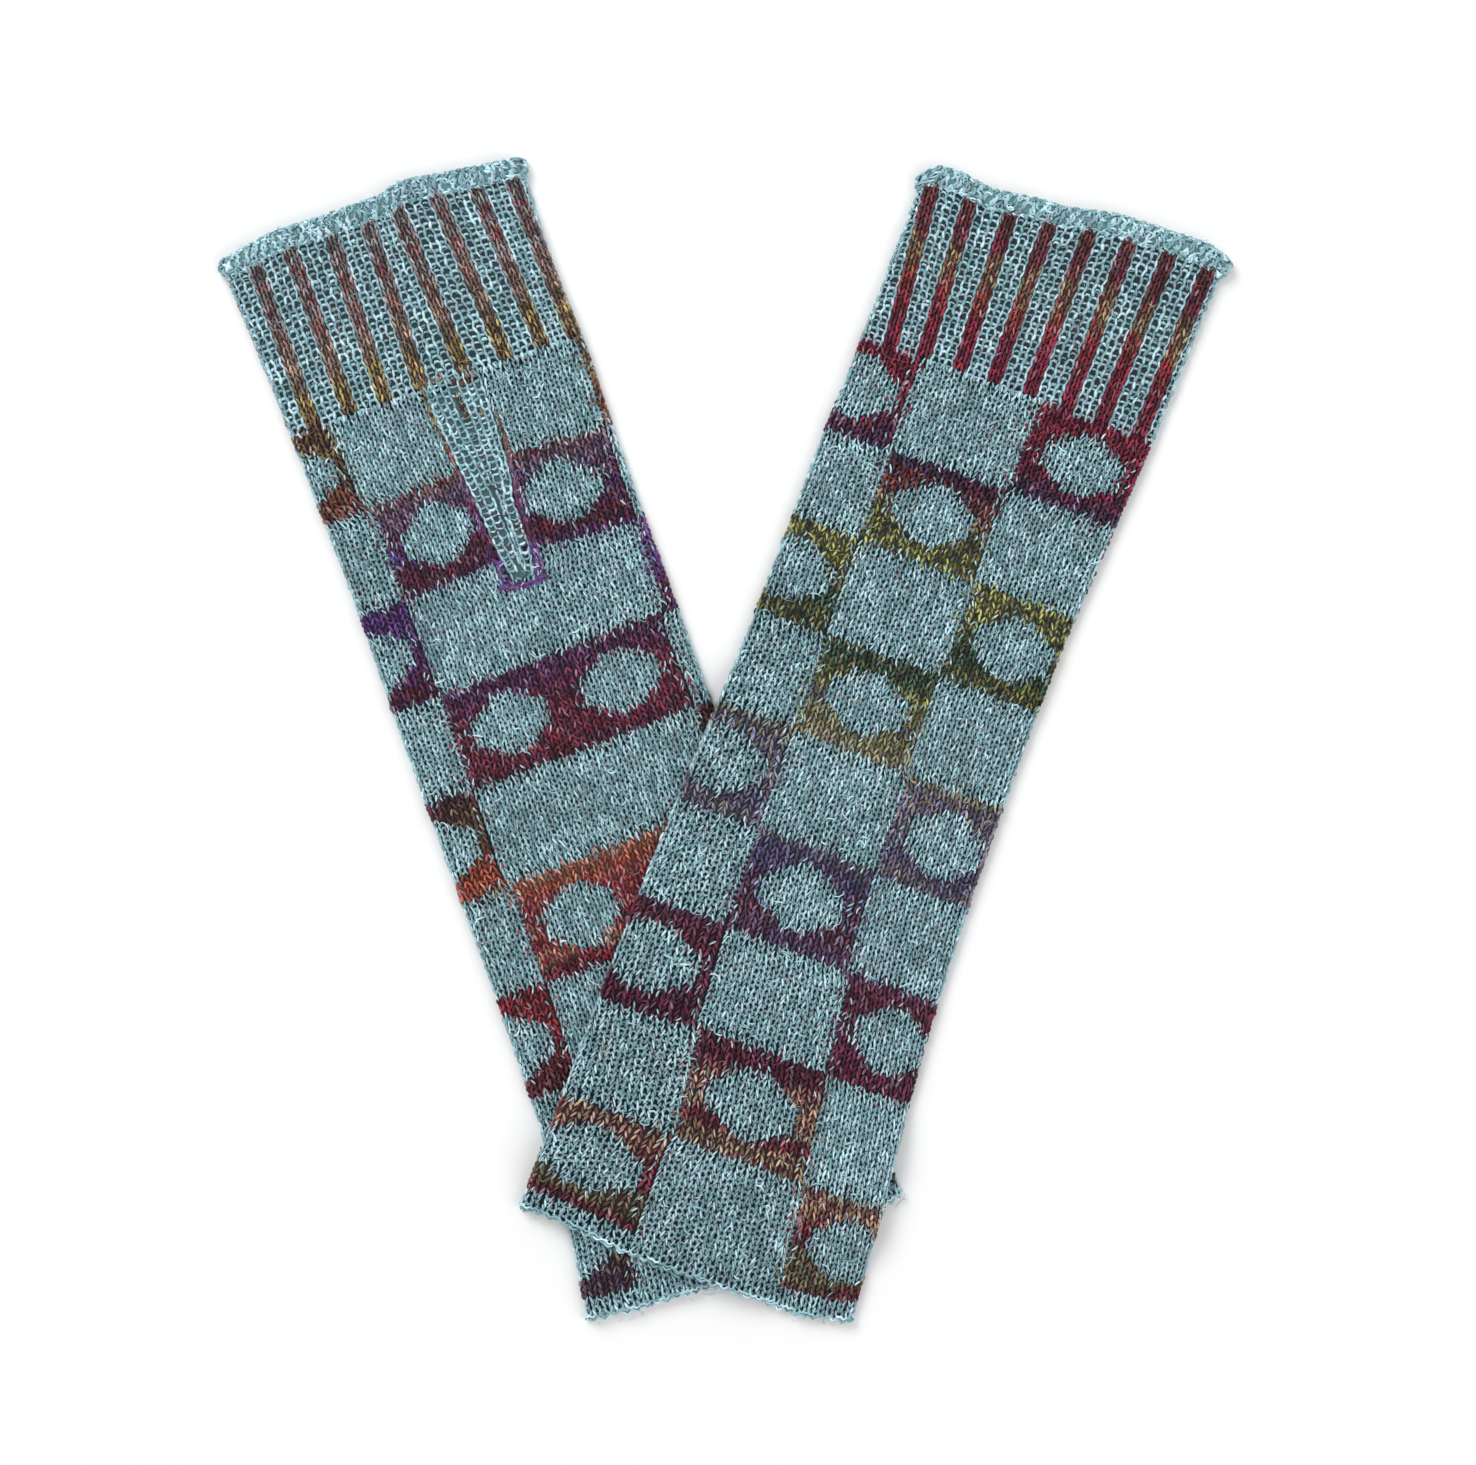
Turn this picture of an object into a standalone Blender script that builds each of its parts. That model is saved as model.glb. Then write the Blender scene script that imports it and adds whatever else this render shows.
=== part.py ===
"""A pair of knitted wrist warmers, laid flat and crossed at their arm ends.

Each warmer is a fine knitted tube that lies flattened: two layers of cloth with a little
air between them, joined round two side folds. Its hand end is ribbed, and the edge there
rolls outwards. The palm has a slit for the thumb, with a wedge-shaped gusset below it.
The left warmer lies palm up. The right warmer lies palm down, and its arm end rests on
the left one.

Metres, +Z up, the origin under the middle of the pair. Sizes below are in millimetres.
In each warmer, s is the distance across from its middle line, and t the distance from
its hand end. Both are as seen from above.
"""

from collections import namedtuple
from math import hypot

import bmesh
import bpy
import numpy as np

MM = 0.001

# The cloth
WALL = 1.4  # one layer of knitting
HOLLOW = 1.0  # the air between the two layers
THICK = 2 * WALL + HOLLOW
FOLD = THICK / 2  # the radius of the side folds
SEAM_GAP = 0.3  # between pieces that are sewn together
LAY_GAP = 0.5  # between the two warmers where they cross

# The ribbed hand end
CUFF = 55.0  # its length
RIB_CREST = 3.2  # the flat top of a rib
RIB_SLOPE = 0.8  # each side of a rib
RIB_RAISE = 0.6  # how far a rib stands out
RIB_FADE = 2.5  # the length over which a rib starts and ends
RIM_FADE = 60.0  # the slant of the hand edge dies out over this length
ARM_FADE = 36.0  # and that of the arm edge over this one

# The body of each warmer
ROW_STEP = 20.0  # between sections where the warmer lies flat
DRAPE_STEP = 8.0  # between sections where it climbs over the other
UNDER_COLUMNS = 14  # points across the underside
FOLD_ANGLES = (45.0, 90.0, 135.0)  # points round a side fold, in degrees
FALL_MARGIN = 2.0  # the upper warmer stays up this far beyond the lower one
FALL = 12.0  # and comes down to the table over this much more

# The thumb
SLIT = 1.2  # the height of the open slit above the gusset
CUTTER_REACH = 6.0  # how far a cutter passes the cloth

Edge = namedtuple("Edge", "t left right")  # the outline's two sides
Rim = namedtuple("Rim", "s t")  # the outline's end
Ribs = namedtuple("Ribs", "count hand_first hand_pitch foot_first foot_pitch")
Swell = namedtuple("Swell", "s t across along height")  # a soft rise of the upper layer
Roll = namedtuple("Roll", "t out")  # an end's swelling
Warmer = namedtuple("Warmer", "name hand_end arm_end edges hand_rim arm_rim ribs swells drape")

# The rolled hand edge and the arm edge, as distances from the end and outwards
HAND_ROLL = (Roll(0.0, 0.2), Roll(0.7, 1.0), Roll(2.2, 1.4), Roll(4.0, 0.8), Roll(5.5, 0.0))
ARM_ROLL = (Roll(4.0, 0.0), Roll(1.6, 0.2), Roll(0.4, 0.1), Roll(0.0, -0.2))
INNER_LIP = 0.5  # the inner wall starts this far from each end

# The thumb gusset's two sides, from the slit to its foot
GUSSET = (
    Edge(56.0, -4.2, 14.4),
    Edge(72.0, -2.6, 14.3),
    Edge(84.0, -1.9, 13.9),
    Edge(97.0, -1.0, 12.3),
    Edge(110.0, 0.4, 10.4),
    Edge(120.5, 1.7, 9.0),
)

LEFT = Warmer(
    name="left",
    hand_end=(-105.1, 158.3),
    arm_end=(4.7, -154.0),
    edges=(
        Edge(0, -47.6, 45.8),
        Edge(10, -47.6, 45.8),
        Edge(35, -46.2, 45.0),
        Edge(60, -45.6, 46.4),
        Edge(105, -44.2, 45.8),
        Edge(150, -44.4, 46.4),
        Edge(232, -43.6, 46.8),
        Edge(275, -43.8, 48.2),
        Edge(310, -46.4, 50.8),
        Edge(334, -50.2, 51.8),
    ),
    hand_rim=(
        Rim(-48, -1.2),
        Rim(-37, -2.8),
        Rim(-30, -4.2),
        Rim(-14, -3.4),
        Rim(4, -3.7),
        Rim(9, -5.6),
        Rim(14, -5.2),
        Rim(28, -3.0),
        Rim(46, -0.6),
    ),
    arm_rim=(Rim(-50, 333.4), Rim(-36, 335.2), Rim(-8, 336.5), Rim(40, 333.4), Rim(52, 329.0)),
    ribs=(Ribs(4, -39.0, 12.0, -38.2, 11.4), Ribs(4, 6.5, 11.6, 10.0, 10.5)),
    swells=(
        Swell(4.0, 64.0, 13.0, 20.0, 1.5),
        Swell(6.0, 150.0, 5.0, 28.0, 0.5),
        Swell(-24.0, 150.0, 16.0, 40.0, 0.7),
        Swell(24.0, 100.0, 13.0, 30.0, 0.6),
        Swell(-16.0, 215.0, 15.0, 30.0, 0.5),
    ),
    drape=False,
)

RIGHT = Warmer(
    name="right",
    hand_end=(104.6, 156.8),
    arm_end=(-11.2, -155.8),
    edges=(
        Edge(0, -46.4, 47.6),
        Edge(10, -46.5, 46.4),
        Edge(60, -47.1, 44.9),
        Edge(90, -48.1, 43.2),
        Edge(120, -48.2, 41.4),
        Edge(150, -48.6, 41.0),
        Edge(197, -50.8, 41.6),
        Edge(242, -52.2, 43.6),
        Edge(270, -52.6, 46.0),
        Edge(300, -52.4, 49.2),
        Edge(335, -53.0, 52.4),
    ),
    hand_rim=(
        Rim(-48, 4.0),
        Rim(-43, 0.2),
        Rim(-36, -0.3),
        Rim(-26, 1.4),
        Rim(-12, -0.9),
        Rim(-4, -1.3),
        Rim(12, -4.9),
        Rim(40, -6.0),
        Rim(48, -3.8),
    ),
    arm_rim=(Rim(-53, 336.2), Rim(-43, 335.0), Rim(-20, 337.4), Rim(38, 337.1), Rim(53, 333.4)),
    ribs=(Ribs(8, -41.6, 11.9, -38.5, 11.2),),
    swells=(
        Swell(-22.0, 95.0, 15.0, 34.0, 0.6),
        Swell(22.0, 140.0, 16.0, 42.0, 0.7),
        Swell(-24.0, 205.0, 16.0, 26.0, 0.8),
        Swell(20.0, 250.0, 18.0, 40.0, 0.6),
        Swell(-2.0, 326.0, 16.0, 13.0, 0.8),
    ),
    drape=True,
)

TEAL = (0.24, 0.41, 0.42, 1.0)
MAROON = (0.21, 0.09, 0.11, 1.0)
WOOL_ROUGHNESS = 0.9


def clear_scene():
    for old in list(bpy.data.objects):
        bpy.data.objects.remove(old)


def collection(name, hidden=False):
    made = bpy.data.collections.new(name)
    made.hide_render = hidden
    bpy.context.scene.collection.children.link(made)
    return made


def wool(name, colour):
    material = bpy.data.materials.new(name)
    material.use_nodes = True
    shader = material.node_tree.nodes["Principled BSDF"]
    shader.inputs["Base Color"].default_value = colour
    shader.inputs["Roughness"].default_value = WOOL_ROUGHNESS
    shader.inputs["Metallic"].default_value = 0.0
    return material


def read(table, column, at):
    """A table's column at one or many places along its first column."""
    where = [row[0] for row in table]
    return np.interp(at, where, [getattr(row, column) for row in table])


def directions(warmer):
    """The warmer's along and across directions, and its length."""
    dx = warmer.arm_end[0] - warmer.hand_end[0]
    dy = warmer.arm_end[1] - warmer.hand_end[1]
    length = hypot(dx, dy)
    along = np.array((dx / length, dy / length))
    across = np.array((-along[1], along[0]))
    return along, across, length


def to_table(warmer, s, t):
    """Places on the table for places in the warmer."""
    along, across, _ = directions(warmer)
    x = warmer.hand_end[0] + s * across[0] + t * along[0]
    y = warmer.hand_end[1] + s * across[1] + t * along[1]
    return x, y


def from_table(warmer, x, y):
    along, across, _ = directions(warmer)
    dx = x - warmer.hand_end[0]
    dy = y - warmer.hand_end[1]
    return dx * across[0] + dy * across[1], dx * along[0] + dy * along[1]


def smooth(x):
    """0 to 1 as x goes from 0 to 1, with a level start and end."""
    x = np.clip(x, 0.0, 1.0)
    return x * x * (3 - 2 * x)


def swelling(warmer, s, t):
    """The height of the soft rises: round humps, each fading with distance."""
    height = 0
    for hump in warmer.swells:
        reach = ((s - hump.s) / hump.across) ** 2 + ((t - hump.t) / hump.along) ** 2
        height = height + hump.height * np.exp(-reach)
    return height


def lift(x, y):
    """How far the upper warmer is held off the table by the lower one.

    It is full over the lower warmer and a margin round it, and falls smoothly beyond.
    """
    s, t = from_table(LEFT, x, y)
    beside = np.maximum(read(LEFT.edges, "left", t) - s, s - read(LEFT.edges, "right", t))
    past = t - read(LEFT.arm_rim, "t", s)
    away = np.hypot(np.maximum(beside, 0), np.maximum(past, 0))
    full = THICK + swelling(LEFT, s, t) + LAY_GAP
    return full * (1 - smooth((away - FALL_MARGIN) / FALL))


def rib_columns(warmer, t):
    """Where the columns of points on the ribs are at t, with each one's share of the raise."""
    part = np.clip(t / CUFF, 0.0, 1.0)
    places = []
    raises = []
    for run in warmer.ribs:
        first = run.hand_first + part * (run.foot_first - run.hand_first)
        pitch = run.hand_pitch + part * (run.foot_pitch - run.hand_pitch)
        for rib in range(run.count):
            middle = first + rib * pitch
            for side, share in ((-1, 0.0), (-1, 1.0), (1, 1.0), (1, 0.0)):
                reach = RIB_CREST / 2 + (RIB_SLOPE if share == 0.0 else 0.0)
                places.append(middle + side * reach)
                raises.append(share)
    return np.array(places), np.array(raises)


def section(warmer, t):
    """The columns of one section at t: where each one's fold centre is, which way it
    faces (across and up) and its share of the ribs' raise. They run over the top from
    left to right, round the right fold, back underneath and round the left fold."""
    left = read(warmer.edges, "left", t) + FOLD
    right = read(warmer.edges, "right", t) - FOLD
    foot_left = read(warmer.edges, "left", min(t, CUFF)) + FOLD
    foot_right = read(warmer.edges, "right", min(t, CUFF)) - FOLD
    places, raises = rib_columns(warmer, t)
    top = left + (places - foot_left) / (foot_right - foot_left) * (right - left)
    top = np.concatenate(([left], top, [right]))
    turn = np.radians(FOLD_ANGLES)
    under = np.linspace(right, left, UNDER_COLUMNS)
    flat_top = np.zeros(len(top))
    flat_under = np.zeros(UNDER_COLUMNS)
    centre = np.concatenate((top, np.full(len(turn), right), under, np.full(len(turn), left)))
    sideways = np.concatenate((flat_top, np.sin(turn), flat_under, -np.sin(turn)))
    up = np.concatenate((flat_top + 1, np.cos(turn), flat_under - 1, np.cos(turn[::-1])))
    raised = np.zeros(len(centre))
    raised[1 : len(top) - 1] = raises
    return centre, sideways, up, raised


def outline_shift(warmer, s, t, length):
    """How far the slanting ends move a point of the straight-ended warmer along it."""
    hand = read(warmer.hand_rim, "t", s) * np.clip(1 - t / RIM_FADE, 0, 1)
    arm = (read(warmer.arm_rim, "t", s) - length) * np.clip((t - length) / ARM_FADE + 1, 0, 1)
    return hand + arm


def ring(warmer, t, out, length):
    """The points of one closed ring of the tube at t, out from the cloth's outer face.

    Every point goes from its fold centre along the way it faces. The ribs and the rolled
    edge stand out on top, half as far at the folds and not at all underneath.
    """
    centre, sideways, up, raised = section(warmer, t)
    ribbed = smooth((t - HAND_ROLL[-1].t) / RIB_FADE) * smooth((CUFF + RIB_FADE - t) / RIB_FADE)
    inside = out <= -WALL
    showing = 0.5 + 0.5 * up
    rise = 0.0 if inside else RIB_RAISE * ribbed * raised
    reach = FOLD + rise + (out * showing if out > 0 else out)
    s = centre + sideways * reach
    z = FOLD + up * reach + swelling(warmer, s, t) * np.maximum(up, 0)
    x, y = to_table(warmer, s, t + outline_shift(warmer, s, t, length))
    if warmer.drape:
        z = z + lift(x, y)
    return np.column_stack((x, y, z))


def rows(warmer, length):
    """(t, out) of every ring: down the outside from the hand end, then up the inside."""
    start = HAND_ROLL[-1].t
    end = length - ARM_ROLL[0].t
    cuff = [start + RIB_FADE, CUFF / 2, CUFF, CUFF + RIB_FADE]
    if warmer.drape:
        reached = CUFF + 6 * ROW_STEP
        flat = np.arange(CUFF + ROW_STEP, reached, ROW_STEP)
        climbing = np.linspace(reached, end, round((end - reached) / DRAPE_STEP) + 1)[:-1]
        body = list(flat) + list(climbing)
    else:
        body = list(np.linspace(CUFF, end, round((end - CUFF) / ROW_STEP) + 1)[1:-1])
    outer = [(roll.t, roll.out) for roll in HAND_ROLL]
    outer += [(t, 0.0) for t in cuff + body]
    outer += [(length - roll.t, roll.out) for roll in ARM_ROLL]
    inner = [(0.0, INNER_LIP - WALL), (INNER_LIP, -WALL), (start, -WALL), (CUFF / 2, -WALL)]
    inner += [(CUFF, -WALL)] + [(t, -WALL) for t in body]
    inner += [(length - INNER_LIP, -WALL), (length, INNER_LIP - WALL)]
    return outer + inner[::-1]


def tube(warmer):
    """The flattened tube of one warmer, as a mesh closed round both ways."""
    _, _, length = directions(warmer)
    rings = [ring(warmer, t, out, length) for t, out in rows(warmer, length)]
    points = np.array(rings) * MM
    count, around = points.shape[:2]
    index = np.arange(count * around).reshape(count, around)
    below = np.roll(index, -1, axis=0)
    corners = (index, np.roll(index, -1, axis=1), np.roll(below, -1, axis=1), below)
    faces = np.stack(corners, axis=-1).reshape(-1, 4)
    mesh = bpy.data.meshes.new(f"{warmer.name}_tube")
    mesh.from_pydata(points.reshape(-1, 3).tolist(), [], faces.tolist())
    mesh.update()
    return mesh


def wedge(warmer, name, grown, above, group):
    """An upright prism over the gusset's outline.

    grown is how far it is let out at the sides and foot, and above how far past the slit.
    It spans the layer with the thumb in it: the upper one palm up, the lower palm down.
    """
    sides = [(row.t, row.left - grown, row.right + grown) for row in GUSSET]
    sides[0] = (sides[0][0] - above, *sides[0][1:])
    sides[-1] = (sides[-1][0] + grown, *sides[-1][1:])
    outline = [(left, t) for t, left, _ in sides] + [(right, t) for t, _, right in sides[::-1]]
    low, high = (-CUTTER_REACH, FOLD) if warmer.drape else (FOLD, THICK + CUTTER_REACH)
    shape = bmesh.new()
    corners = []
    for s, t in outline:
        x, y = to_table(warmer, s, t)
        corners.append(shape.verts.new((x * MM, y * MM, low * MM)))
    face = shape.faces.new(corners)
    raised = bmesh.ops.extrude_face_region(shape, geom=[face])["geom"]
    tops = [item for item in raised if isinstance(item, bmesh.types.BMVert)]
    bmesh.ops.translate(shape, verts=tops, vec=(0, 0, (high - low) * MM))
    bmesh.ops.recalc_face_normals(shape, faces=shape.faces)
    mesh = bpy.data.meshes.new(name)
    shape.to_mesh(mesh)
    shape.free()
    cutter = bpy.data.objects.new(name, mesh)
    cutter.hide_render = True
    cutter.display_type = "WIRE"
    group.objects.link(cutter)
    return cutter


def piece(name, mesh, material, group, cutter, operation):
    """One sewn piece: the tube's mesh, trimmed by a prism."""
    made = bpy.data.objects.new(name, mesh)
    made.data.materials.append(material)
    group.objects.link(made)
    trim = made.modifiers.new("trim", "BOOLEAN")
    trim.object = cutter
    trim.operation = operation
    trim.solver = "EXACT"
    return made


def build_warmer(warmer, parts, cutters):
    around = wedge(warmer, f"{warmer.name}_gusset_room", SEAM_GAP, SLIT, cutters)
    within = wedge(warmer, f"{warmer.name}_gusset_outline", 0.0, 0.0, cutters)
    body = wool(f"{warmer.name}_knit", TEAL)
    gusset = wool(f"{warmer.name}_gusset_knit", MAROON)
    names = (f"{warmer.name}_sleeve", f"{warmer.name}_thumb_gusset")
    piece(names[0], tube(warmer), body, parts, around, "DIFFERENCE")
    piece(names[1], tube(warmer), gusset, parts, within, "INTERSECT")


def main():
    clear_scene()
    parts = collection("wrist_warmers")
    cutters = collection("cutters", hidden=True)
    for warmer in (LEFT, RIGHT):
        build_warmer(warmer, parts, cutters)


main()
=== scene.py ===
"""A pair of knitted wrist warmers, laid flat and crossed at their arm ends.

Every stitch is a pair of short yarn legs, laid on a thin backing that follows the
flattened tube; the backing's dark colour is painted shade, the shadow in the holes
between stitches. Places on a tube are given by a, the distance round it from the left
fold, over the top, and t, the distance from its hand end. Both are in millimetres, as
all sizes here are, until a mesh is made.
"""

from collections import namedtuple
from math import pi

import bpy
import numpy as np
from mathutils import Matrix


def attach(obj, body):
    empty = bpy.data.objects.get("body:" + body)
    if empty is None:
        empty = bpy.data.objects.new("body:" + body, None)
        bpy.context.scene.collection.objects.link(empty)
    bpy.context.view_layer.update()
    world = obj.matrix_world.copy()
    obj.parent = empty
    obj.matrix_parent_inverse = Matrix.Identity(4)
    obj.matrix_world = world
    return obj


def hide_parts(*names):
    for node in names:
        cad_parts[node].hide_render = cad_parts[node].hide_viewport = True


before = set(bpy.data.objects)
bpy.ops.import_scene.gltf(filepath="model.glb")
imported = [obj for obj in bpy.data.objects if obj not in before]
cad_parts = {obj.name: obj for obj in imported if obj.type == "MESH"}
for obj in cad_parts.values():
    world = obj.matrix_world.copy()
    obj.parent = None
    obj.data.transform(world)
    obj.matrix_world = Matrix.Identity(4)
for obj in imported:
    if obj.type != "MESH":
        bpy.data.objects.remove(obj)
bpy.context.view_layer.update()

MM = 0.001

# ---------------------------------------------------------------- the garment's sizes

WALL = 1.4  # one layer of knitting
HOLLOW = 1.0  # the air between the two layers
THICK = 2 * WALL + HOLLOW
FOLD = THICK / 2  # the radius of the side folds
LAY_GAP = 0.5  # between the two warmers where they cross
FALL_MARGIN = 2.0  # the upper warmer stays up this far beyond the lower one
FALL = 12.0  # and comes down to the table over this much more

CUFF = 55.0  # the ribbed hand end
RIM_FADE = 60.0  # the slant of the hand edge dies out over this length
ARM_FADE = 36.0  # and that of the arm edge over this one

WALES = 64  # columns of stitches round a warmer
BLOCK_WALES = 13  # columns in a block
BLOCK_COURSES = 17  # rows of stitches in a block
BLOCK_ROWS = 9
COURSES = BLOCK_ROWS * BLOCK_COURSES
HEM_COURSES = 3
HEM_COURSE = 1.8  # the height of a row of stitches in the hem
OVAL_WALES = 4.9  # half the oval window's width
OVAL_COURSES = 5.9  # half its height
OVAL_POWER = 1.4  # below 2, so its ends are pointed
RIB_COURSE = 1.85  # the height of a row of stitches in the ribs
RIB_TOP = 5.0  # the ribs start this far from the hand end
RIB_COURSES = 27
RIB_HALF = 2.3  # half of a contrast rib's width
RIB_WALE = 2.3  # the width of one column of stitches in it
RIB_RAISE = 0.6
RIB_FALL = 0.8  # the width of a rib's sloping side
UNDER_RIBS = 8
LADDER_RAILS = (0.04, 0.35, 0.65, 0.96)  # the lengthwise strands, as shares of a strip

GROUND_DEPTH = -0.62  # the backing lies this far under the cloth's outer face
BACKING = 0.7  # how thick the backing is
BACKING_COLUMNS = 96
BACKING_ROW = 3.0  # the length of its faces
TABLE_GAP = 0.02  # nothing comes closer to the table
TOP_MARGIN = 1.5  # the upper side's stitches go this far past the folds

Edge = namedtuple("Edge", "t left right")  # the outline's two sides
Rim = namedtuple("Rim", "s t")  # the outline's end
Strip = namedtuple("Strip", "t near far")  # two borders between strips of blocks
Pull = namedtuple("Pull", "s t across along shift")  # where rows of stitches are drawn along
Path = namedtuple("Path", "t s")  # the middle of a line of yarn on the palm
Band = namedtuple("Band", "t s half")  # the same for a band, with half its width
Patch = namedtuple("Patch", "s t across along count")  # a few strands lying together
Roll = namedtuple("Roll", "t out")  # the rolled edge, from the ribs over to the lip
Swell = namedtuple("Swell", "s t across along height")  # a soft rise of the upper layer
Shade = namedtuple("Shade", "t one two")  # the contrast yarn's two plies
Light = namedtuple("Light", "least span power")  # how light the legs are, few of them pale
Leg = namedtuple("Leg", "near far thick arch")  # how far from the wale's middle it starts and ends
Arc = namedtuple("Arc", "start span base bow")  # in shares of a wale and of a course
Warmer = namedtuple(
    "Warmer",
    "name hand_end arm_end edges hand_rim arm_rim rib_tops rib_feet swells pulls drape"
    " strips far_wale seam_wale rows framed shades seed",
)


def rows_of(kind, *rows):
    """A table of named rows."""
    return tuple(kind(*row) for row in rows)


ROLLED = rows_of(
    Roll,
    (6.4, -0.7), (5.5, -0.1), (4.2, 0.7), (2.4, 1.2), (0.8, 0.9), (0.0, 0.2), (-0.2, -0.6),
)

GUSSET = rows_of(
    Edge,
    (56.0, -4.2, 14.4), (72.0, -2.6, 14.3), (84.0, -1.7, 13.4), (97.0, -0.5, 11.5),
    (110.0, 0.7, 10.4), (120.5, 2.0, 9.0),
)
GUSSET_ROOM = 0.45  # the share of its width that parts the strips beside it

SEAM = rows_of(Rim, (4.7, 121.0), (6.5, 331.0))  # the palm seam, from the gusset's foot
SEAM_SLANT = (SEAM[1].s - SEAM[0].s) / (SEAM[1].t - SEAM[0].t)
SEAM_DEPTH = 0.6

# ---------------------------------------------------------------- the yarns' colours

AQUA = (0.57, 0.77, 0.80)
MIST = (0.71, 0.81, 0.86)
# painted highlight: the whitish colour that the palest ground legs are turned towards
HIGHLIGHT_PALE = (0.86, 0.92, 0.93)
# painted shade: the backing's dark teal stands for the shadow in the holes between stitches
SHADOW_TEAL = (0.06, 0.13, 0.16)
ROLL_TEAL = (0.46, 0.61, 0.63)
FLECK = (0.72, 0.66, 0.68)
STEEL = (0.55, 0.58, 0.58)
FLINT = (0.57, 0.50, 0.48)
PLUM = (0.42, 0.17, 0.30)
MAUVE = (0.56, 0.43, 0.50)
MAROON = (0.47, 0.11, 0.17)
RUST = (0.62, 0.31, 0.18)
OLIVE_BROWN = (0.47, 0.38, 0.22)
CRIMSON = (0.60, 0.08, 0.19)
BURGUNDY = (0.46, 0.07, 0.25)
NAVY = (0.16, 0.16, 0.33)
OLIVE = (0.58, 0.59, 0.28)
LIME = (0.76, 0.77, 0.44)
LICHEN = (0.50, 0.50, 0.39)
FOREST = (0.22, 0.42, 0.25)
OCHRE = (0.64, 0.61, 0.42)
INK = (0.04, 0.07, 0.16)
STONE = (0.58, 0.56, 0.52)
TAN = (0.75, 0.68, 0.53)
LAVENDER = (0.50, 0.44, 0.62)
SLATE = (0.33, 0.33, 0.52)
GREY_PURPLE = (0.42, 0.37, 0.49)
PEACH = (0.82, 0.68, 0.55)
VIOLET = (0.35, 0.20, 0.54)
BROWN = (0.38, 0.26, 0.22)
SALMON = (0.74, 0.50, 0.46)
GOLD = (0.73, 0.65, 0.38)
HAZE = (0.50, 0.52, 0.60)
DARK_PLUM = (0.27, 0.12, 0.28)
BRICK = (0.66, 0.25, 0.18)
ORANGE = (0.78, 0.42, 0.26)
WINE = (0.33, 0.08, 0.14)
PURPLE = (0.42, 0.22, 0.46)

HAZE_SHARE = 0.09  # how much of the grey-blue haze is in every contrast colour
PLY_LEAN = 0.2  # the first ply shows on more of the yarn than the second
FLECK_SHARE = 0.4  # how far a pale fleck hides the ply
FLECK_RARE = 0.82  # the share of legs without one
# partly painted light: the spread of the legs' lightness runs from legs in painted shade to legs with
# a painted highlight
GROUND_LIGHT = Light(0.74, 0.78, 1.7)
CONTRAST_LIGHT = Light(0.42, 1.4, 1.6)

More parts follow.
